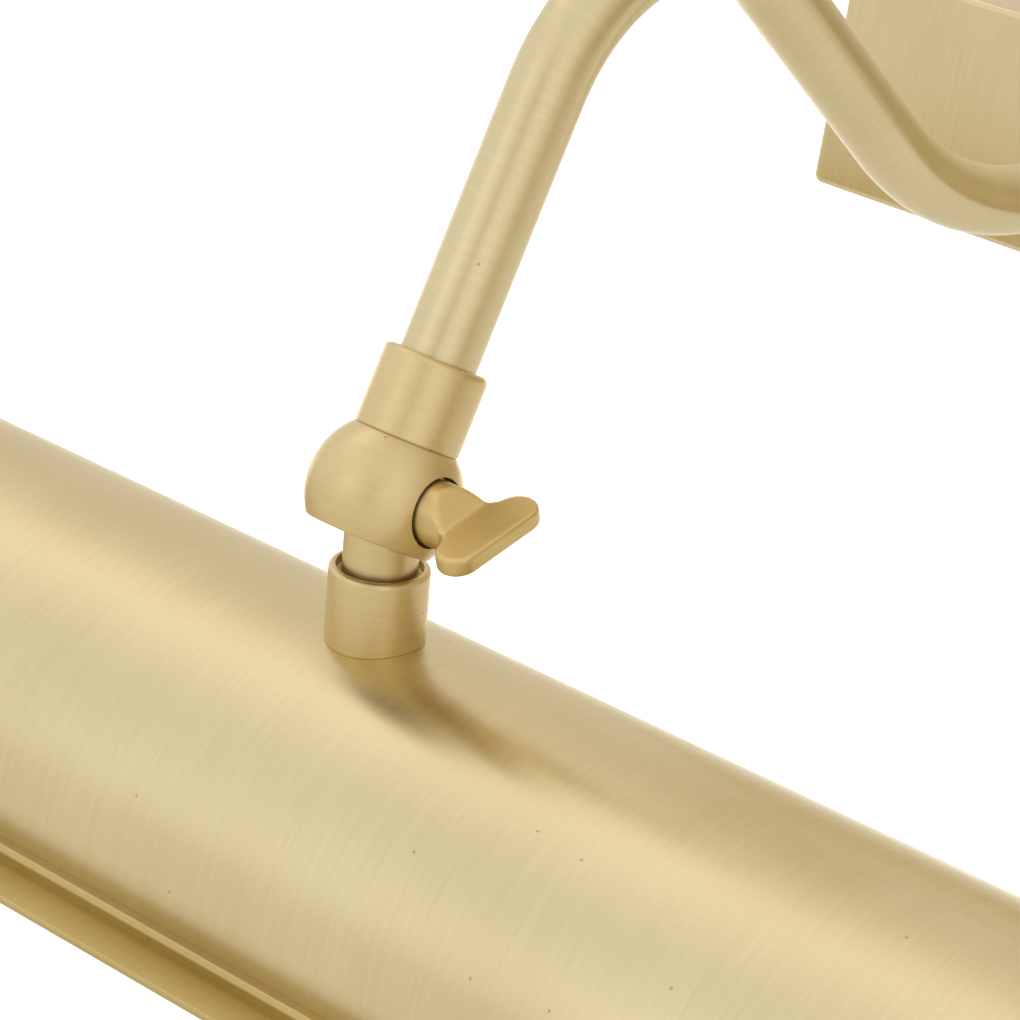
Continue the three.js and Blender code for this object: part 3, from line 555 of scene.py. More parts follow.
def arm_points(start, sideways=0.0, offset=0.0):
    """The arm's centre line from near the pivot to its end in the cover, or a line beside it."""
    end = (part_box("arm_tube")[1].y - PIVOT.y) / MM
    riser, neck, slope, runout = 52.4, 26.4, 40.6, 60
    fall = 35
    heading = radians(RISER_ANGLE)
    at = Vector((0, 0))
    out = []

    def add():
        out.append((sideways, at.x - offset * sin(heading), at.y + offset * cos(heading)))

    def forward(distance, steps):
        nonlocal at
        begin = at.copy()
        for k in range(steps):
            at = begin + Vector((cos(heading), sin(heading))) * distance * (k + 1) / steps
            add()

    def bend(radius, angle, steps):
        nonlocal at, heading
        side = 1 if angle > 0 else -1
        centre = at + Vector((-sin(heading), cos(heading))) * side * radius
        for _ in range(steps):
            heading += radians(angle) / steps
            at = centre + Vector((sin(heading), -cos(heading))) * side * radius
            add()

    forward(start, 1)
    forward(riser - start, 12)
    bend(neck, -(RISER_ANGLE + fall), 48)
    forward(slope, 8)
    bend(runout, fall, 24)
    forward(end - at.x, 8)
    return out


def make_arm():
    tube = swept("arm_tube", arm_points(ARM_START), TUBE_RADIUS, ARM, sides=72, bore=4)
    finished(tube, "root", "satin_brass", "arm_tube", slot="satin_brass")


# ------------------------ knuckle
BALL_RADIUS = 9.8
BALL_DROP = 0.45
BALL_FLAT = 6.1
SOCKET_RADIUS = 6.75
SOCKET_TOP = 17.2
SLOT_HALF = 5.1
SLOT_RADIUS = 5.15
SWING = 86.5
SPOT_FACE = 6.4
SPOT_RADIUS = 4.5
TUBE_SEAT = 8
TUBE_BORE = 5.15
WIRE_HOLE = 3
PIN_HOLE = 2.15


def slot_cutter():
    """The room the post's end swings through, as a solid."""
    reach = 30
    end = radians(SWING)
    up = (cos(end) * SLOT_RADIUS, sin(end) * SLOT_RADIUS)
    outline = [(-SLOT_RADIUS, -reach), (reach, -reach),
               (sin(end) * reach + up[0], -cos(end) * reach + up[1])]
    outline += arc((0, 0), SLOT_RADIUS, degrees(atan2(up[1], up[0])), 180, 24)
    return extruded("cutter", outline, -SLOT_HALF, SLOT_HALF, SOCKET)


def make_socket():
    flat_half = degrees(asin((BALL_FLAT - BALL_DROP) / BALL_RADIUS))
    collar_at = degrees(acos((SOCKET_RADIUS - 0.08) / BALL_RADIUS))
    ball = arc((0, -BALL_DROP), BALL_RADIUS, -flat_half + 1.6, collar_at, 40)
    edge = BALL_RADIUS * cos(radians(flat_half))
    seam = ball[-1]
    profile = [(0, -BALL_FLAT)]
    profile += rounded([(edge - 2, -BALL_FLAT), (edge, -BALL_FLAT, 0.35), ball[0]], steps=5)
    profile += ball[1:]
    profile += [(seam[0] - 0.1, seam[1] + 0.05)]
    profile += rounded([
        (seam[0] - 0.1, seam[1] + 0.12), (SOCKET_RADIUS, seam[1] + 0.12, 0.08),
        (SOCKET_RADIUS, SOCKET_TOP, 0.9), (TUBE_BORE, SOCKET_TOP, 0.12), (TUBE_BORE, TUBE_SEAT),
        (0, TUBE_SEAT)], steps=8)
    socket = turned("knuckle_socket", profile, SOCKET, 128)
    cut(socket, slot_cutter(), rod(WIRE_HOLE, 0, TUBE_SEAT + 1, SOCKET),
        rod(SPOT_RADIUS, SPOT_FACE, 20, SOCKET @ Z_TO_X, 96), rod(PIN_HOLE, -12, 12, SOCKET @ Z_TO_X))
    soften(socket, 0.14, angle=38)
    finished(socket, "root", "turned_knuckle", "knuckle_socket", slot="satin_brass")


def make_wing_screw():
    """Hub and wing cast in one, on a turned shank: the hub narrows to a crease along the wing."""
    foot, radius, head = 7.5, 4.1, 13.4
    hub = turned("wing_screw", [(0, foot), (radius, foot), (radius, head), (0, head)], WING @ Z_TO_X, 64)
    slope = [(7, -5), (10.2, -4.2), (13.4, -1.25)]
    wedge = slope + [(x, -z) for x, z in slope[::-1]]
    combine(hub, "INTERSECT", extruded("cutter", wedge, -6, 6, WING @ X_TO_MINUS_Y))
    root, waist, neck, tip, lobe, lobe_at, half = 11, 14, 3.75, 19.8, 2.7, 5.25, 1.2
    across, up = tip - lobe - waist, lobe_at - neck
    join = atan2(up, across) + acos(-lobe / hypot(across, up))
    round_part = arc((tip - lobe, lobe_at), lobe, degrees(join), 0, 20)
    upper = []
    steps = 10
    for k in range(steps):
        t = k / steps
        start, middle, end = (1 - t) ** 2, 2 * t * (1 - t), t * t
        upper.append((start * root + middle * waist + end * round_part[0][0],
                      (start + middle) * neck + end * round_part[0][1]))
    upper += round_part
    outline = upper + [(x, -y) for x, y in upper[::-1]]
    combine(hub, "UNION", extruded("cutter", outline, -half, half, WING @ X_UP))
    remesh = hub.modifiers.new("cast", "REMESH")
    remesh.mode = "VOXEL"
    remesh.voxel_size = 0.13 * MM
    smooth = hub.modifiers.new("smooth", "SMOOTH")
    smooth.factor = 0.5
    smooth.iterations = 70
    apply_modifiers(hub)
    hub.data.shade_smooth()
    shank = turned("wing_screw_shank", [
        (0, -8), (1.6, -8), *straight(1.85, -7.7, 6.6, 0.07), (2, 6.7), (2, 8.4), (0, 8.4)],
        WING @ Z_TO_X, 48, relief=thread(0.7, 0.13, -7.6, 6.5))
    finished(hub, "wing_screw", "cast_brass", "wing_screw", slot="satin_brass")
    finished(shank, "wing_screw", "plain_brass")
    washer("screw_washer", 4.3, 2.3, 6.7, 7.4, WING @ Z_TO_X, "screw_seat", "plain_brass")


def washer(name, radius, bore, low, high, place, body, finish):
    """A stamped flat washer with rounded rims."""
    piece = turned(name, rounded([
        (bore, low, 0.1), (radius, low, 0.2), (radius, high, 0.2), (bore, high, 0.1)], closed=True), place,
        closed=True)
    finished(piece, body, finish, name)


# ------------------------ shade
SHELL_RADIUS = 30.5
SHELL_AXIS = 50
SHEET = 1.0
LIP_ARCS = [  # inner corner, nose and lower corner: out from the side, drop, radius, first and last angle
    (0.08, 51.52, 0.08, 180, 270),
    (1, 52.5, 0.9, 90, 0),
    (2, 53.35, 0.1, 180, 264),
]
FLANGE_LENGTH = 5.8


def crest(inset):
    return arc((0, -SHELL_AXIS), SHELL_RADIUS - inset, 90, 0, 48)


def lip_arc(which, inset=0.0, start=None, end=None):
    out, drop, radius, first, last = LIP_ARCS[which]
    return arc((SHELL_RADIUS + out, -drop), radius + inset, start or first, end or last, 14)


def lip_corner(which):
    out, drop, radius = LIP_ARCS[which][:3]
    return (SHELL_RADIUS + out - radius, -drop - radius)


def shell_outside():
    """The outer face's section from the crest to the flange on the +y side, its inner corners sharp."""
    return crest(0) + [lip_corner(0)] + lip_arc(1) + [lip_corner(2)]


def shell_inside(inset):
    return crest(inset) + lip_arc(0, inset, end=230) + lip_arc(2, inset, start=185)


def make_shell():
    slope = radians(LIP_ARCS[-1][-1] - 180)
    along = Vector((sin(slope), -cos(slope))) * (FLANGE_LENGTH - SHEET / 2)
    outside, inside = shell_outside(), shell_inside(SHEET)
    edge = (Vector(outside[-1]) + Vector(inside[-1])) / 2 + along
    facing = degrees(slope)
    half = outside + arc(edge, SHEET / 2, facing, facing - 180, 8) + inside[::-1]
    outline = half + [(-y, z) for y, z in half[::-1]]
    end = cad_box("shade_shell")[1].x
    shell = extruded("shade_shell", outline, -end, end, SHADE, segments=24)
    cut(shell, rod(4.3, -SHELL_AXIS, 0, SHADE))
    tidy(shell)
    # the shell's brass carries painted shade in its lip
    finished(shell, "shade", "brass_with_lip_shade", "shade_shell", slot="satin_brass")


def cap_outline(inset, edge):
    half = [(y, z) for y, z in shell_inside(inset) if z >= -edge]
    return half + [(-y, z) for y, z in half[:0:-1]]


def make_end_cap(side, word):
    """A tray pressed from sheet, fitted inside the shell's end, with its wall cut away at the mouth."""
    outer = cad_box("shade_shell")[1].x - 0.1
    depth, thick, fit, edge = 8, 1.02, 0.08, 56.5
    place = SHADE if side > 0 else SHADE @ quarter("Z", 2)
    name = f"shade_end_{word}"
    tray = extruded(name, cap_outline(SHEET + fit, edge), outer - depth, outer, place)
    back, face = outer - depth - 1, outer - 1
    hollow = extruded("cutter", cap_outline(SHEET + fit + thick, edge + 2), back, face, place)
    mouth = slab((back, -25, -70), (face, 25, -SHELL_AXIS), place)
    cut(tray, hollow, mouth)
    soften(tray, 0.35, angle=40)
    box_uv(tray)
    finished(tray, "shade", "satin_brass", name)


def make_shade_collar():
    top, floor, foot, radius, bore, hole = 9.9, 11.2, 34, 6.35, 5.45, 4.2
    profile = rounded([
        (hole, -foot), (radius, -foot), (radius, -top, 0.7), (bore, -top, 0.15), (bore, -floor, 0.3),
        (hole, -floor)], closed=True, steps=8)
    collar = turned("shade_collar", profile, SHADE, 128, closed=True)
    saddle = rod(SHELL_RADIUS + 0.03, -20, 20, SHADE @ shift(0, 0, -SHELL_AXIS) @ Z_TO_X, 256)
    below = slab((-20, -20, -90), (20, 20, -SHELL_AXIS + 12), SHADE)
    cut(collar, saddle, below)
    soften(collar, 0.12, angle=38)
    finished(collar, "shade", "turned_knuckle", "shade_collar", slot="satin_brass")


def make_post():
    shoulder, end, radius, shank = 10.9, 29.6, 4.75, 4
    profile = [(0, -end), (3.4, -end), *straight(shank - 0.15, -end + 0.4, -22.4), (shank, -22.2),
               (shank, -shoulder), (radius, -shoulder), (radius, radius), (0, radius)]
    post = turned("knuckle_post", profile, SHADE, 96, relief=thread(1.0, 0.15, -end + 0.5, -22.5))
    eye = rod(radius, -10, 10, SHADE @ Z_TO_X, 96)
    combine(eye, "UNION", slab((-10, -10, -40), (10, 10, 0), SHADE))
    combine(post, "INTERSECT", eye)
    cut(post, rod(2.8, -40, 10, SHADE), rod(PIN_HOLE, -10, 10, SHADE @ Z_TO_X))
    soften(post, 0.15, angle=60)
    finished(post, "shade", "turned_knuckle", "knuckle_post", slot="satin_brass")


# ------------------------ wall side
COVER_SCREW_Y = -9
COVER_SCREW_HOLE = 2.15
GROMMET_X = -17
EARTH_X = -31
BLOCK_START, BLOCK_LENGTH, BLOCK_PITCH, BLOCK_HEIGHT = 14, 17, 8.2, 25
BLOCK_MIDDLE = BLOCK_START + BLOCK_LENGTH / 2
BLOCK_HOLE = 1.55
INSERT_Y = -8.8
SCREW_SIDES = (("arm", -4), ("wall", 4))  # where each terminal's two screws stand from its middle
POLES = {"earth": -1, "neutral": 0, "live": 1}


def make_cover():
    low, high = cad_box("wall_cover")
    width, height, depth, wall = high.x - low.x, high.z - low.z, -low.y, 1.2
    corner, edge = 1.5, 1.0

    def ring(inset, y):
        u, v, r = width / 2 - inset, height / 2 - inset, max(corner - inset, 0.25)
        corners = [(u, v, r), (-u, v, r), (-u, -v, r), (u, -v, r)]
        return [(x, y, z) for x, z in rounded(corners, closed=True, steps=8)]

    front = arc((edge, -depth + edge), edge, 180, 270, 8)
    profile = [(wall, -0.05), (0.1, -0.05), (0, -0.2)] + front
    outside = [ring(inset, y) for inset, y in profile]
    inside = [ring(wall, -depth + wall)]
    rings = inside + outside
    across = [0.0] * (len(rings[0]) + 1)
    points, faces, uvs = skin(rings, across, [0.0] * len(rings), True)
    size = len(rings[0])
    for start in (0, (len(rings) - 1) * size):
        faces.append(tuple(range(start, start + size)))
        uvs.append([(0, 0)] * size)
    cover = make_object("wall_cover", points, faces, uvs, WALL)
    cut(cover, rod(TUBE_BORE, -30, -10, Z_TO_Y),
        rod(COVER_SCREW_HOLE + 0.05, -80, 80, shift(0, COVER_SCREW_Y, 0) @ Z_TO_X))
    tidy(cover)
    box_uv(cover)
    finished(cover, "root", "satin_brass", "wall_cover")


def slotted_screw(name, radius, height, shank, length, place, body, finish):
    """A screw whose slotted head's outer face is at z = 0, on a plain shank."""
    profile = rounded([
        (0, -height - length), (shank, -height - length, 0.3), (shank, -height), (radius, -height, 0.15),
        (radius, -0.25, 0.5), (0, 0)])
    screw = turned(name, profile, place, 64)
    narrow = radius * 0.14
    cut(screw, slab((-radius * 1.2, -narrow, -height * 0.5), (radius * 1.2, narrow, 1), place))
    soften(screw, 0.06, angle=40, segments=2)
    finished(screw, body, finish, name)


def make_cover_screws():
    for side, word in ((-1, "left"), (1, "right")):
        name = f"cover_screw_{word}"
        low, high = cad_box(name)
        out, facing = (high.x, Z_TO_X) if side > 0 else (low.x, Z_TO_MINUS_X)
        place = shift(out, COVER_SCREW_Y, 0) @ facing
        slotted_screw(name, 3.6, 2.2, 2, 7, place, "root", "satin_brass")


def make_arm_collar():
    low, high = (corner.y for corner in cad_box("arm_collar"))
    bore, radius, back = 5.08, 7, high + 0.25
    profile = rounded([(bore, back), (radius, back, 0.15), (radius, low, 0.8), (bore, low, 0.1)],
                      closed=True, steps=8)
    collar = turned("arm_collar", profile, Z_TO_Y, 96, closed=True)
    finished(collar, "root", "satin_brass", "arm_collar")


def hexagonal(name, across, low, high, bore, place, body):
    """A nut with turned chamfers on its corners."""
    reach = across / sqrt(3)
    corners = [(reach * cos(i * TAU / 6), reach * sin(i * TAU / 6)) for i in range(6)]
    nut = extruded(name, corners, low, high, place @ Z_TO_MINUS_X)
    lift = (reach - across / 2) * 0.6
    turning = turned("cutter", [
        (bore, low - 0.01), (across / 2, low - 0.01), (reach + 0.1, low + lift), (reach + 0.1, high - lift),
        (across / 2, high + 0.01), (bore, high + 0.01)], place, 96, closed=True)
    combine(nut, "INTERSECT", turning)
    soften(nut, 0.08, angle=30, segments=2)
    finished(nut, body, "plain_brass", name)


def make_arm_hardware():
    make_arm_collar()
    low, high = (corner.y for corner in cad_box("arm_lock_washer"))
    washer("arm_lock_washer", 8, 5.3, low, high, Z_TO_Y, "root", "zinc_steel")
    low, high = (corner.y for corner in cad_box("arm_lock_nut"))
    hexagonal("arm_lock_nut", 14, low, high, 5.1, Z_TO_Y, "root")


def make_grommet():
    bore, neck, rim, face, front, back = 3.2, 4.85, 7, -2.3, -4.5, -0.3
    profile = rounded([
        (bore, back, 0.4), (bore, front, 0.8), (rim, front, 0.9), (rim, face, 0.3), (neck, face, 0.3),
        (neck, back, 0.3)], closed=True)
    grommet = turned("cable_grommet", profile, shift(GROMMET_X, 0, 0) @ Z_TO_Y, 64, closed=True)
    finished(grommet, "root", "black_rubber", "cable_grommet")


def make_wall_bracket():
    """A bent steel strap with an ear at each end, two slots and holes for what it carries."""
    low, high = cad_box("wall_bracket")
    thick, ear, bend = 2.0, 1.5, 1.6
    outline = rounded([
        (low.x, 0, bend), (high.x, 0, bend), (high.x, low.y), (high.x - ear, low.y),
        (high.x - ear, -thick, 0.4), (low.x + ear, -thick, 0.4), (low.x + ear, low.y), (low.x, low.y)],
        closed=True)
    strap = extruded("wall_bracket", outline, -10, 10, X_UP)
    ear_half, notch_end, slot_x, slot_long, slot_half = 8, -3.5, 45, 4, 2.5
    for side in (-1, 1):
        ends = (side * high.x - 4, side * high.x + 4)
        for top in (-1, 1):
            notch = [(y, top * z) for y, z in (
                (low.y - 1, ear_half), (low.y - 1, 12), (notch_end, 12), (notch_end, ear_half))]
            cut(strap, extruded("cutter", notch, *ends, WALL))
        slot = rounded([(x * slot_long, z * slot_half, slot_half - 0.01) for x, z in (
            (-1, -1), (1, -1), (1, 1), (-1, 1))], closed=True, steps=12)
        place = shift(side * slot_x, 0, 0) @ X_TO_MINUS_Y
        cut(strap, extruded("cutter", slot, -5, 5, place))
    holes = [rod(radius, -8, 5, shift(x, 0, z) @ Z_TO_Y) for radius, x, z in (
        (5, GROMMET_X, 0), (1.8, EARTH_X, 0), (BLOCK_HOLE, BLOCK_MIDDLE, BLOCK_PITCH / 2))]
    cover_screws = rod(COVER_SCREW_HOLE, -80, 80, shift(0, COVER_SCREW_Y, 0) @ Z_TO_X)
    cut(strap, cover_screws, *holes)
    soften(strap, 0.18, angle=40)
    finished(strap, "root", "zinc_steel", "wall_bracket")


def make_terminal_block():
    back, front, half, end = -2.3, INSERT_Y - 6.5, BLOCK_HEIGHT / 2, BLOCK_START + BLOCK_LENGTH
    outline = [(front, -half), (back, -half), (back, half), (front, half)]
    block = extruded("terminal_block", outline, BLOCK_START, end, WALL)
    for pole in POLES.values():
        z = pole * BLOCK_PITCH
        wells = [rod(1.9, -INSERT_Y, 20, shift(BLOCK_MIDDLE + dx, 0, z) @ Z_TO_MINUS_Y, 40)
                 for _, dx in SCREW_SIDES]
        cut(block, rod(2.7, 0, 40, shift(0, INSERT_Y, z) @ Z_TO_X, 48), *wells)
    notches = [slab((BLOCK_START - 1, front - 1, side * BLOCK_PITCH / 2 - 0.5),
                    (end + 1, front + 2, side * BLOCK_PITCH / 2 + 0.5), WALL) for side in (-1, 1)]
    at = shift(BLOCK_MIDDLE, 0, BLOCK_PITCH / 2) @ Z_TO_MINUS_Y
    cut(block, rod(BLOCK_HOLE, -5, 30, at, 40), rod(2.8, 11.8, 30, at, 40), *notches)
    soften(block, 0.35, angle=50)
    finished(block, "root", "white_nylon", "terminal_block")


def make_terminals():
    for name, pole in POLES.items():
        z = pole * BLOCK_PITCH
        node = f"terminal_insert_{name}"
        low, high, bore, radius = BLOCK_START + 1, BLOCK_START + BLOCK_LENGTH - 1, 1.4, 2.4
        insert = turned(node, rounded([
            (bore, low, 0.15), (radius, low, 0.25), (radius, high, 0.25), (bore, high, 0.15)], closed=True),
            shift(0, INSERT_Y, z) @ Z_TO_X, 64, closed=True)
        holes = [rod(1.25, 0, 4, shift(BLOCK_MIDDLE + dx, INSERT_Y, z) @ Z_TO_MINUS_Y, 40)
                 for _, dx in SCREW_SIDES]
        cut(insert, *holes)
        finished(insert, "root", "plain_brass", node)
        for word, dx in SCREW_SIDES:
            node = f"terminal_screw_{name}_{word}"
            place = shift(BLOCK_MIDDLE + dx, INSERT_Y - 4.7, z) @ Z_TO_MINUS_Y
            profile = [(0, -3.4), (0.8, -3.4), *straight(1.1, -3.1, -0.2, 0.06), (0.9, 0), (0, 0)]
            screw = turned(node, profile, place, 32, relief=thread(0.6, 0.07, -3.0, -0.25))
            cut(screw, slab((-2, -0.2, -0.8), (2, 0.2, 1), place))
            finished(screw, "root", "zinc_steel", node)


def make_wall_screws():
    place = shift(BLOCK_MIDDLE, -13.5, BLOCK_PITCH / 2) @ Z_TO_MINUS_Y
    slotted_screw("terminal_block_screw", 2.5, 1.4, 1.25, 11, place, "root", "zinc_steel")
    place = shift(EARTH_X, -5, 0) @ Z_TO_MINUS_Y
    slotted_screw("earth_screw", 3, 1.8, 1.5, 3.2, place, "root", "plain_brass")
    washer("earth_washer", 3.2, 1.8, -2.9, -2.3, shift(EARTH_X, 0, 0) @ Z_TO_Y, "root", "plain_brass")


# ------------------------ wiring
def smooth_path(points, steps=8):
    """A Catmull-Rom curve through points."""
    path = [Vector(p) for p in points]
    path = [path[0] * 2 - path[1], *path, path[-1] * 2 - path[-2]]
    out = []
    for a, b, c, d in zip(path, path[1:], path[2:], path[3:]):
        for k in range(steps):
            t = k / steps
            out.append(0.5 * ((2 * b) + (c - a) * t + (2 * a - 5 * b + 4 * c - d) * t * t
                              + (3 * b - 3 * c + d - a) * t ** 3))
    return [*out, path[-2]]


def make_arm_cores():
    rise, away = -PIVOT.z / MM, -PIVOT.y / MM
    cores = {"live": (1, -0.9, 1.7, "brown_sleeve"), "neutral": (0, 1.9, 0, "blue_sleeve"),
             "earth": (-1, -0.9, -1.7, "green_sleeve")}
    for name, (pole, offset, sideways, finish) in cores.items():
        inside = arm_points(10, sideways, offset)
        height = pole * BLOCK_PITCH
        bend = [(2 + sideways, -11.2, height * 0.35), (8, INSERT_Y, height * 0.8),
                (BLOCK_START - 1, INSERT_Y, height), (BLOCK_START + 2, INSERT_Y, height)]
        outside = [(x, y + away, z + rise) for x, y, z in bend]
        path = inside[:-1] + smooth_path([inside[-1], *outside])
        finished(swept(f"arm_core_{name}", path, 0.9, ARM, sides=20), "root", finish, f"arm_core_{name}")
        tip, bared = Vector(outside[-1]), Vector((4, 0, 0))
        strand = swept(f"arm_core_{name}_copper", [tip - bared / 8, tip + bared], 0.55, ARM, 16)
        finished(strand, "root", "copper", slot="plain_brass")


def make_shade_leads():
    points = [(1.3, 0, -3.2), (1.3, 0, -16), (1.3, 0, -27.6), (2, 0, -32.6), (7, 0, -39), (15, 0, -40),
              (22, 0, -40), (30.5, 0, -40)]
    for side, word, finish in ((-1, "left", "blue_sleeve"), (1, "right", "brown_sleeve")):
        path = smooth_path([(side * x, y, z) for x, y, z in points])
        node = f"shade_lead_{word}"
        finished(swept(node, path, 1.0, SHADE, sides=20), "shade", finish, node)


# ------------------------ lamps
LAMP_DROP = 40
LAMP_RADIUS = 12.45
EAR_X = 27.5
FILAMENT_FOOT, FILAMENT_HEAD = (6, 84), (0.0, 113.5)


def make_lamp_bracket():
    """A steel strip bent down at both ends, where its rounded ears hold the lampholders."""
    top, thick, foot, half = -21.95, 1.5, -50, 8
    inner = EAR_X - thick
    outline = rounded([
        (-EAR_X, top, 2), (EAR_X, top, 2), (EAR_X, foot), (inner, foot), (inner, top - thick, 0.6),
        (-inner, top - thick, 0.6), (-inner, foot), (-EAR_X, foot)], closed=True)
    strip = extruded("lamp_bracket", outline, -half, half, SHADE @ X_TO_MINUS_Y)
    axis = SHADE @ shift(0, 0, -LAMP_DROP) @ Z_TO_X
    ends = rod(half, -40, 40, axis, 96)
    combine(ends, "UNION", slab((-40, -half - 1, -LAMP_DROP), (40, half + 1, -10), SHADE))
    combine(strip, "INTERSECT", ends)
    cut(strip, rod(5.1, -40, 40, axis), rod(4.15, -30, 0, SHADE))
    soften(strip, 0.15, angle=40)
    finished(strip, "shade", "zinc_steel", "lamp_bracket")


def make_post_hardware():
    washer("post_washer", 7.5, 4.2, -24.75, -23.75, SHADE, "shade", "zinc_steel")
    hexagonal("post_nut", 13, -28.1, -25.05, 4.1, SHADE, "shade")


def make_lampholder(place, word):
    start, base_end, end = EAR_X + 0.1, 45, 61
    base, nipple, bore, tail = 10.5, 4.85, 3.4, 21.8
    profile = [(bore, tail), (4.5, tail), *straight(nipple, tail + 0.3, start - 0.3), (nipple, start)]
    profile += rounded([
        (8.6, start), (9, start, 0.3), (base, start + 2, 0.6), (base, base_end - 0.4, 0.3),
        (9.6, base_end, 0.2), (9, base_end, 0.2), (9, start + 4, 0.4), (bore, start + 4)])
    relief = thread(1.0, 0.14, tail + 0.5, start - 0.4)
    body = turned(f"holder_base_{word}", profile, place, closed=True, relief=relief)
    finished(body, "shade", "black_resin", f"holder_base_{word}")
    wide, mouth, foot, ribs_from, ribs_to = 11.85, 7.4, base_end + 0.15, base_end + 2.8, end - 2.2
    profile = [(mouth, foot)]
    profile += rounded([(9.9, foot), (base, foot, 0.3), (wide, base_end + 2, 0.4), (wide, base_end + 2.6)])
    profile += straight(wide, ribs_from, ribs_to, 0.4)
    profile += rounded([
        (wide, end - 2), (wide, end - 0.9, 0.4), (11, end, 0.4), (mouth, end, 0.4), (mouth, end - 1)])
    relief = ribs(40, 0.14, ribs_from, ribs_to)
    sleeve = turned(f"holder_sleeve_{word}", profile, place, 240, closed=True, relief=relief)
    finished(sleeve, "shade", "black_resin", f"holder_sleeve_{word}")
    hexagonal(f"holder_nut_{word}", 13, 22.6, EAR_X - 1.6, 5.1, place, "shade")
    contact = turned(f"holder_contact_{word}", rounded([
        (0, start + 7.2), (3.2, start + 7.2, 0.3), (3.2, start + 8.2, 0.3), (1.4, start + 8.2, 0.2),
        (1.4, start + 10.4, 0.4), (0, start + 10.4)]), place, 48)
    finished(contact, "shade", "plain_brass", f"holder_contact_{word}")


def make_lamp(place, word):
    """A tubular lamp: threaded cap, soldered contact, blown envelope, and stem with its filament."""
    contact = turned(f"lamp_contact_{word}", rounded([
        (0, 41), (1.6, 41, 0.7), (2.2, 42.4, 0.5), (2.2, 43.2), (0, 43.2)]), place, 48)
    finished(contact, "shade", "zinc_steel", f"lamp_contact_{word}")
    outer, inner = 6.65, 6.25
    cap = turned(f"lamp_cap_{word}", [
        (2.6, 43.2), (4.4, 43.2), (5.4, 43.7), (6.3, 44.7), *straight(outer, 45.2, 61.2, 0.2), (outer, 61.6),
        (outer + 0.2, 62), (outer + 0.2, 62.4), (inner + 0.2, 62.4), (inner, 61.6),
        *straight(inner, 61.2, 45.6, 0.2), (5.0, 44.5), (4.2, 44.0), (2.6, 44.0)],
        place, closed=True, relief=thread(2.8, 0.22, 45.8, 60.6), crease=50)
    finished(cap, "shade", "plain_brass", f"lamp_cap_{word}")
    seal = turned(f"lamp_seal_{word}", rounded([
        (2.2, 43.25, 0.2), (4.2, 43.1, 0.3), (4.2, 42.7, 0.3), (2.2, 42.4, 0.2)], closed=True),
        place, 48, closed=True)
    finished(seal, "shade", "black_resin")

    def wall(inset):
        radius, neck = LAMP_RADIUS - inset, 5.75 - inset
        return rounded([(neck, 47), (neck, 61, 4 + inset), (radius, 70.5, 5 - inset),
                        (radius, 131.9 - inset, 8.2 - inset), (0, 131.9 - inset)], steps=14)

    envelope = turned(f"lamp_envelope_{word}", wall(0) + wall(0.7)[::-1], place, 96, closed=True)
    finished(envelope, "shade", "clear_glass", f"lamp_envelope_{word}")
    stem = turned(f"lamp_stem_{word}", rounded([
        (0, 48), (4.6, 48, 1), (2.6, 58, 4), (1.9, 70, 2), (2.6, 73, 1), (1.0, 76, 1), (0.8, 112),
        (1.3, 113, 0.5), (1.0, 114.5, 0.5), (0, 114.5)]), place, 48)
    finished(stem, "shade", "clear_glass")
    for which, side in (("a", -1), ("b", 1)):
        route = smooth_path([(side * x, 0, z) for x, z in ((1.4, 70), (1.8, 76), (5.5, 82), FILAMENT_FOOT)])
        support = swept(f"lamp_support_{word}_{which}", route, 0.3, place, 12)
        finished(support, "shade", "zinc_steel")
    filament = swept(f"lamp_filament_{word}", filament_path(), 0.09, place, 6)
    finished(filament, "shade", "tungsten", slot="zinc_steel")


def filament_path():
    """A coil strung from one support up to the stem's head and back down to the other."""
    turns, coil = 34, 0.38
    steps = turns * 8
    x, z = FILAMENT_FOOT
    out = []
    for start, end in (((-x, z), FILAMENT_HEAD), (FILAMENT_HEAD, (x, z))):
        for k in range(steps):
            t = k / steps
            angle = TAU * turns * t
            x = start[0] + (end[0] - start[0]) * t
            z = start[1] + (end[1] - start[1]) * t
            out.append((x + coil * cos(angle), coil * sin(angle), z))
    return out


make_arm()
make_socket()
make_wing_screw()
make_shell()
for side, word in ((-1, "left"), (1, "right")):
    make_end_cap(side, word)
make_shade_collar()
make_post()
make_cover()
make_cover_screws()
make_arm_hardware()
make_wall_bracket()
make_grommet()
make_terminal_block()
make_terminals()
make_wall_screws()
make_arm_cores()
make_shade_leads()
make_lamp_bracket()
make_post_hardware()
for word, facing in (("left", Z_TO_MINUS_X), ("right", Z_TO_X)):
    lamp_place = SHADE @ shift(0, 0, -LAMP_DROP) @ facing
    make_lampholder(lamp_place, word)
    make_lamp(lamp_place, word)


# ------------------------ floor, light and camera
def make_floor():
    floor = bpy.data.meshes.new("floor")
    half, drop = 6.0, 0.35
    corners = [(x * half, y * half, CAD_LOW.z - drop) for x, y in ((-1, -1), (1, -1), (1, 1), (-1, 1))]
    floor.from_pydata(corners, [], [(0, 1, 2, 3)])
    n = Nodes("floor_paper")
    place = n.object_place()
    fibre = n.stretched(place, (3.0, 3.0, 3.0), detail=3.0)
    colour = n.mix(n.remap(fibre, 0.3, 0.7, 0.0, 1.0), linear(250, 250, 247), linear(248, 248, 245))
    n.shade(Base_Color=colour, Roughness=0.9)
    floor.materials.append(n.owner)
    linked("floor", floor)


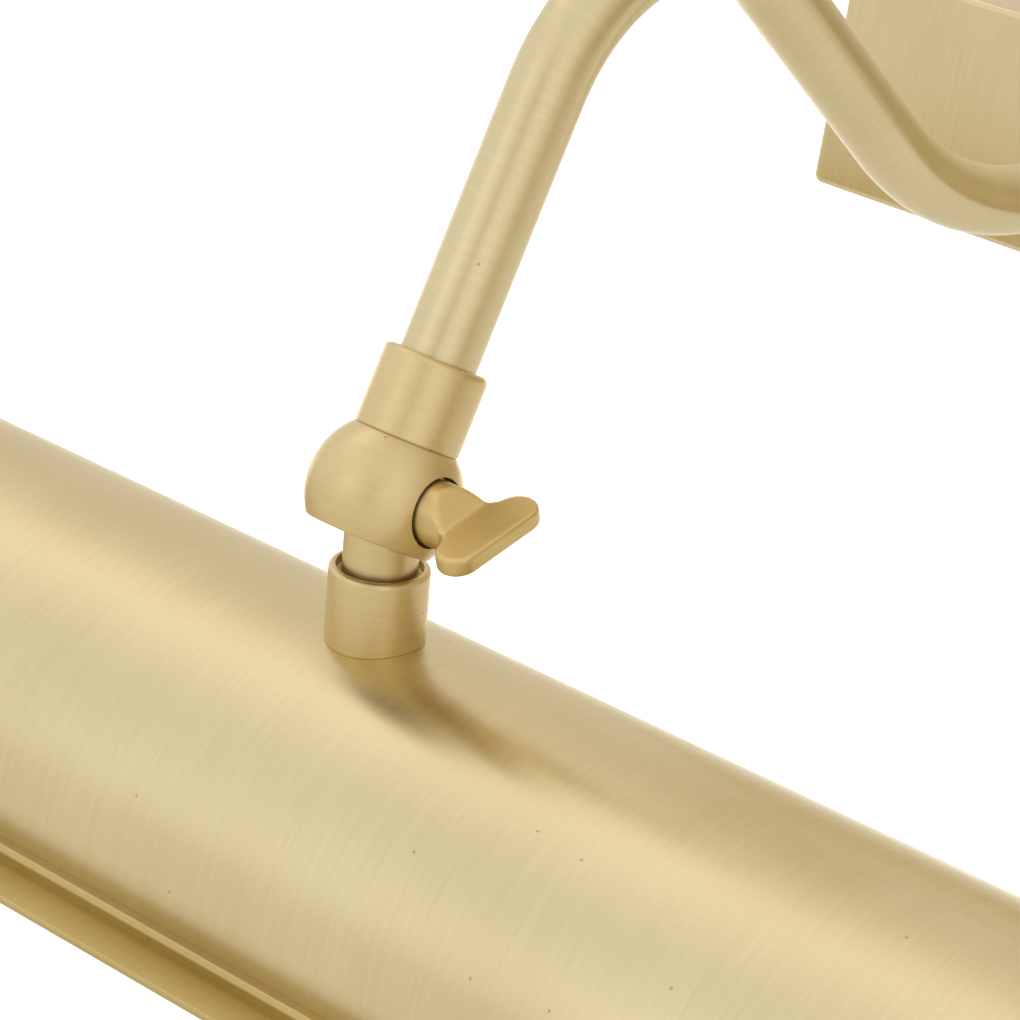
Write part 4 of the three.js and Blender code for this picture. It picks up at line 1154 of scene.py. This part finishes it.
STUDIO_WHITE = 1.0
STUDIO_SHADE = linear(255, 236, 196)
STUDIO_PATCHES = [  # direction, sharpness and strength of each soft patch of light
    ((-0.6, 0.0, 0.8), 22, 0.5),
    ((-0.31, -0.91, 0.27), 34, 0.3),
    ((0.82, -0.52, 0.15), 16, 0.15),
]
STUDIO_GAPS = [  # the same for the dimmer, warmer gaps between the panels
    ((0.35, -0.88, 0.3), 80, 0.35),
    ((0.7, 0.7, 0.0), 3, 0.5),
    ((-0.3, 0.8, 0.5), 2, 0.17),
]


def make_world():
    """A white tent, a little uneven, as a sum of soft patches and gaps around the object."""
    n = Nodes("studio", world=True)
    bpy.context.scene.world = n.owner
    looking = n.add("ShaderNodeTexCoord").outputs["Generated"]

    def total(patches):
        out = 0.0
        for direction, sharpness, strength in patches:
            along = n.add("ShaderNodeVectorMath", {"operation": "DOT_PRODUCT"}, i0=looking,
                          i1=tuple(Vector(direction).normalized())).outputs["Value"]
            patch = n.math("POWER", n.math("MAXIMUM", along, 0.0), sharpness)
            out = n.math("ADD", n.math("MULTIPLY", patch, strength), out)
        return out

    gaps = total(STUDIO_GAPS)
    level = n.math("SUBTRACT", n.math("ADD", total(STUDIO_PATCHES), STUDIO_WHITE), gaps)
    n.shade(Color=n.mix(n.remap(gaps, 0.0, 0.35, 0.0, 1.0), (1, 1, 1, 1), STUDIO_SHADE), Strength=level)
    bpy.context.scene.view_settings.view_transform = "Standard"


def make_backdrop_light():
    """A wide, narrow-beamed light that whitens the floor behind the object without reaching it."""
    light = bpy.data.lights.new("backdrop", "AREA")
    light.shape = "RECTANGLE"
    light.size, light.size_y = 3.4, 3.4
    light.energy = 26
    light.spread = radians(24)
    linked("backdrop", light, Matrix.Translation((-2.1, 2.0, 1.4)))


def make_camera():
    azimuth, elevation, roll = radians(39.01), radians(17.7), radians(9.91)
    back = Vector((sin(azimuth) * cos(elevation), -cos(azimuth) * cos(elevation),
                   sin(elevation)))
    level = Vector((cos(azimuth), sin(azimuth), 0))
    up = back.cross(level)
    right = level * cos(roll) + up * sin(roll)
    top = up * cos(roll) - level * sin(roll)
    camera = bpy.data.cameras.new("camera")
    camera.sensor_width = 36
    camera.lens = 141.56
    camera.clip_start = 0.01
    camera.clip_end = 50
    place = Matrix.Translation(PIVOT) @ shift(305.4, -352.6, 149.05)
    facing = Matrix((right, top, back)).transposed().to_4x4()
    bpy.context.scene.camera = linked("camera", camera, place @ facing)


make_floor()
make_world()
make_backdrop_light()
make_camera()
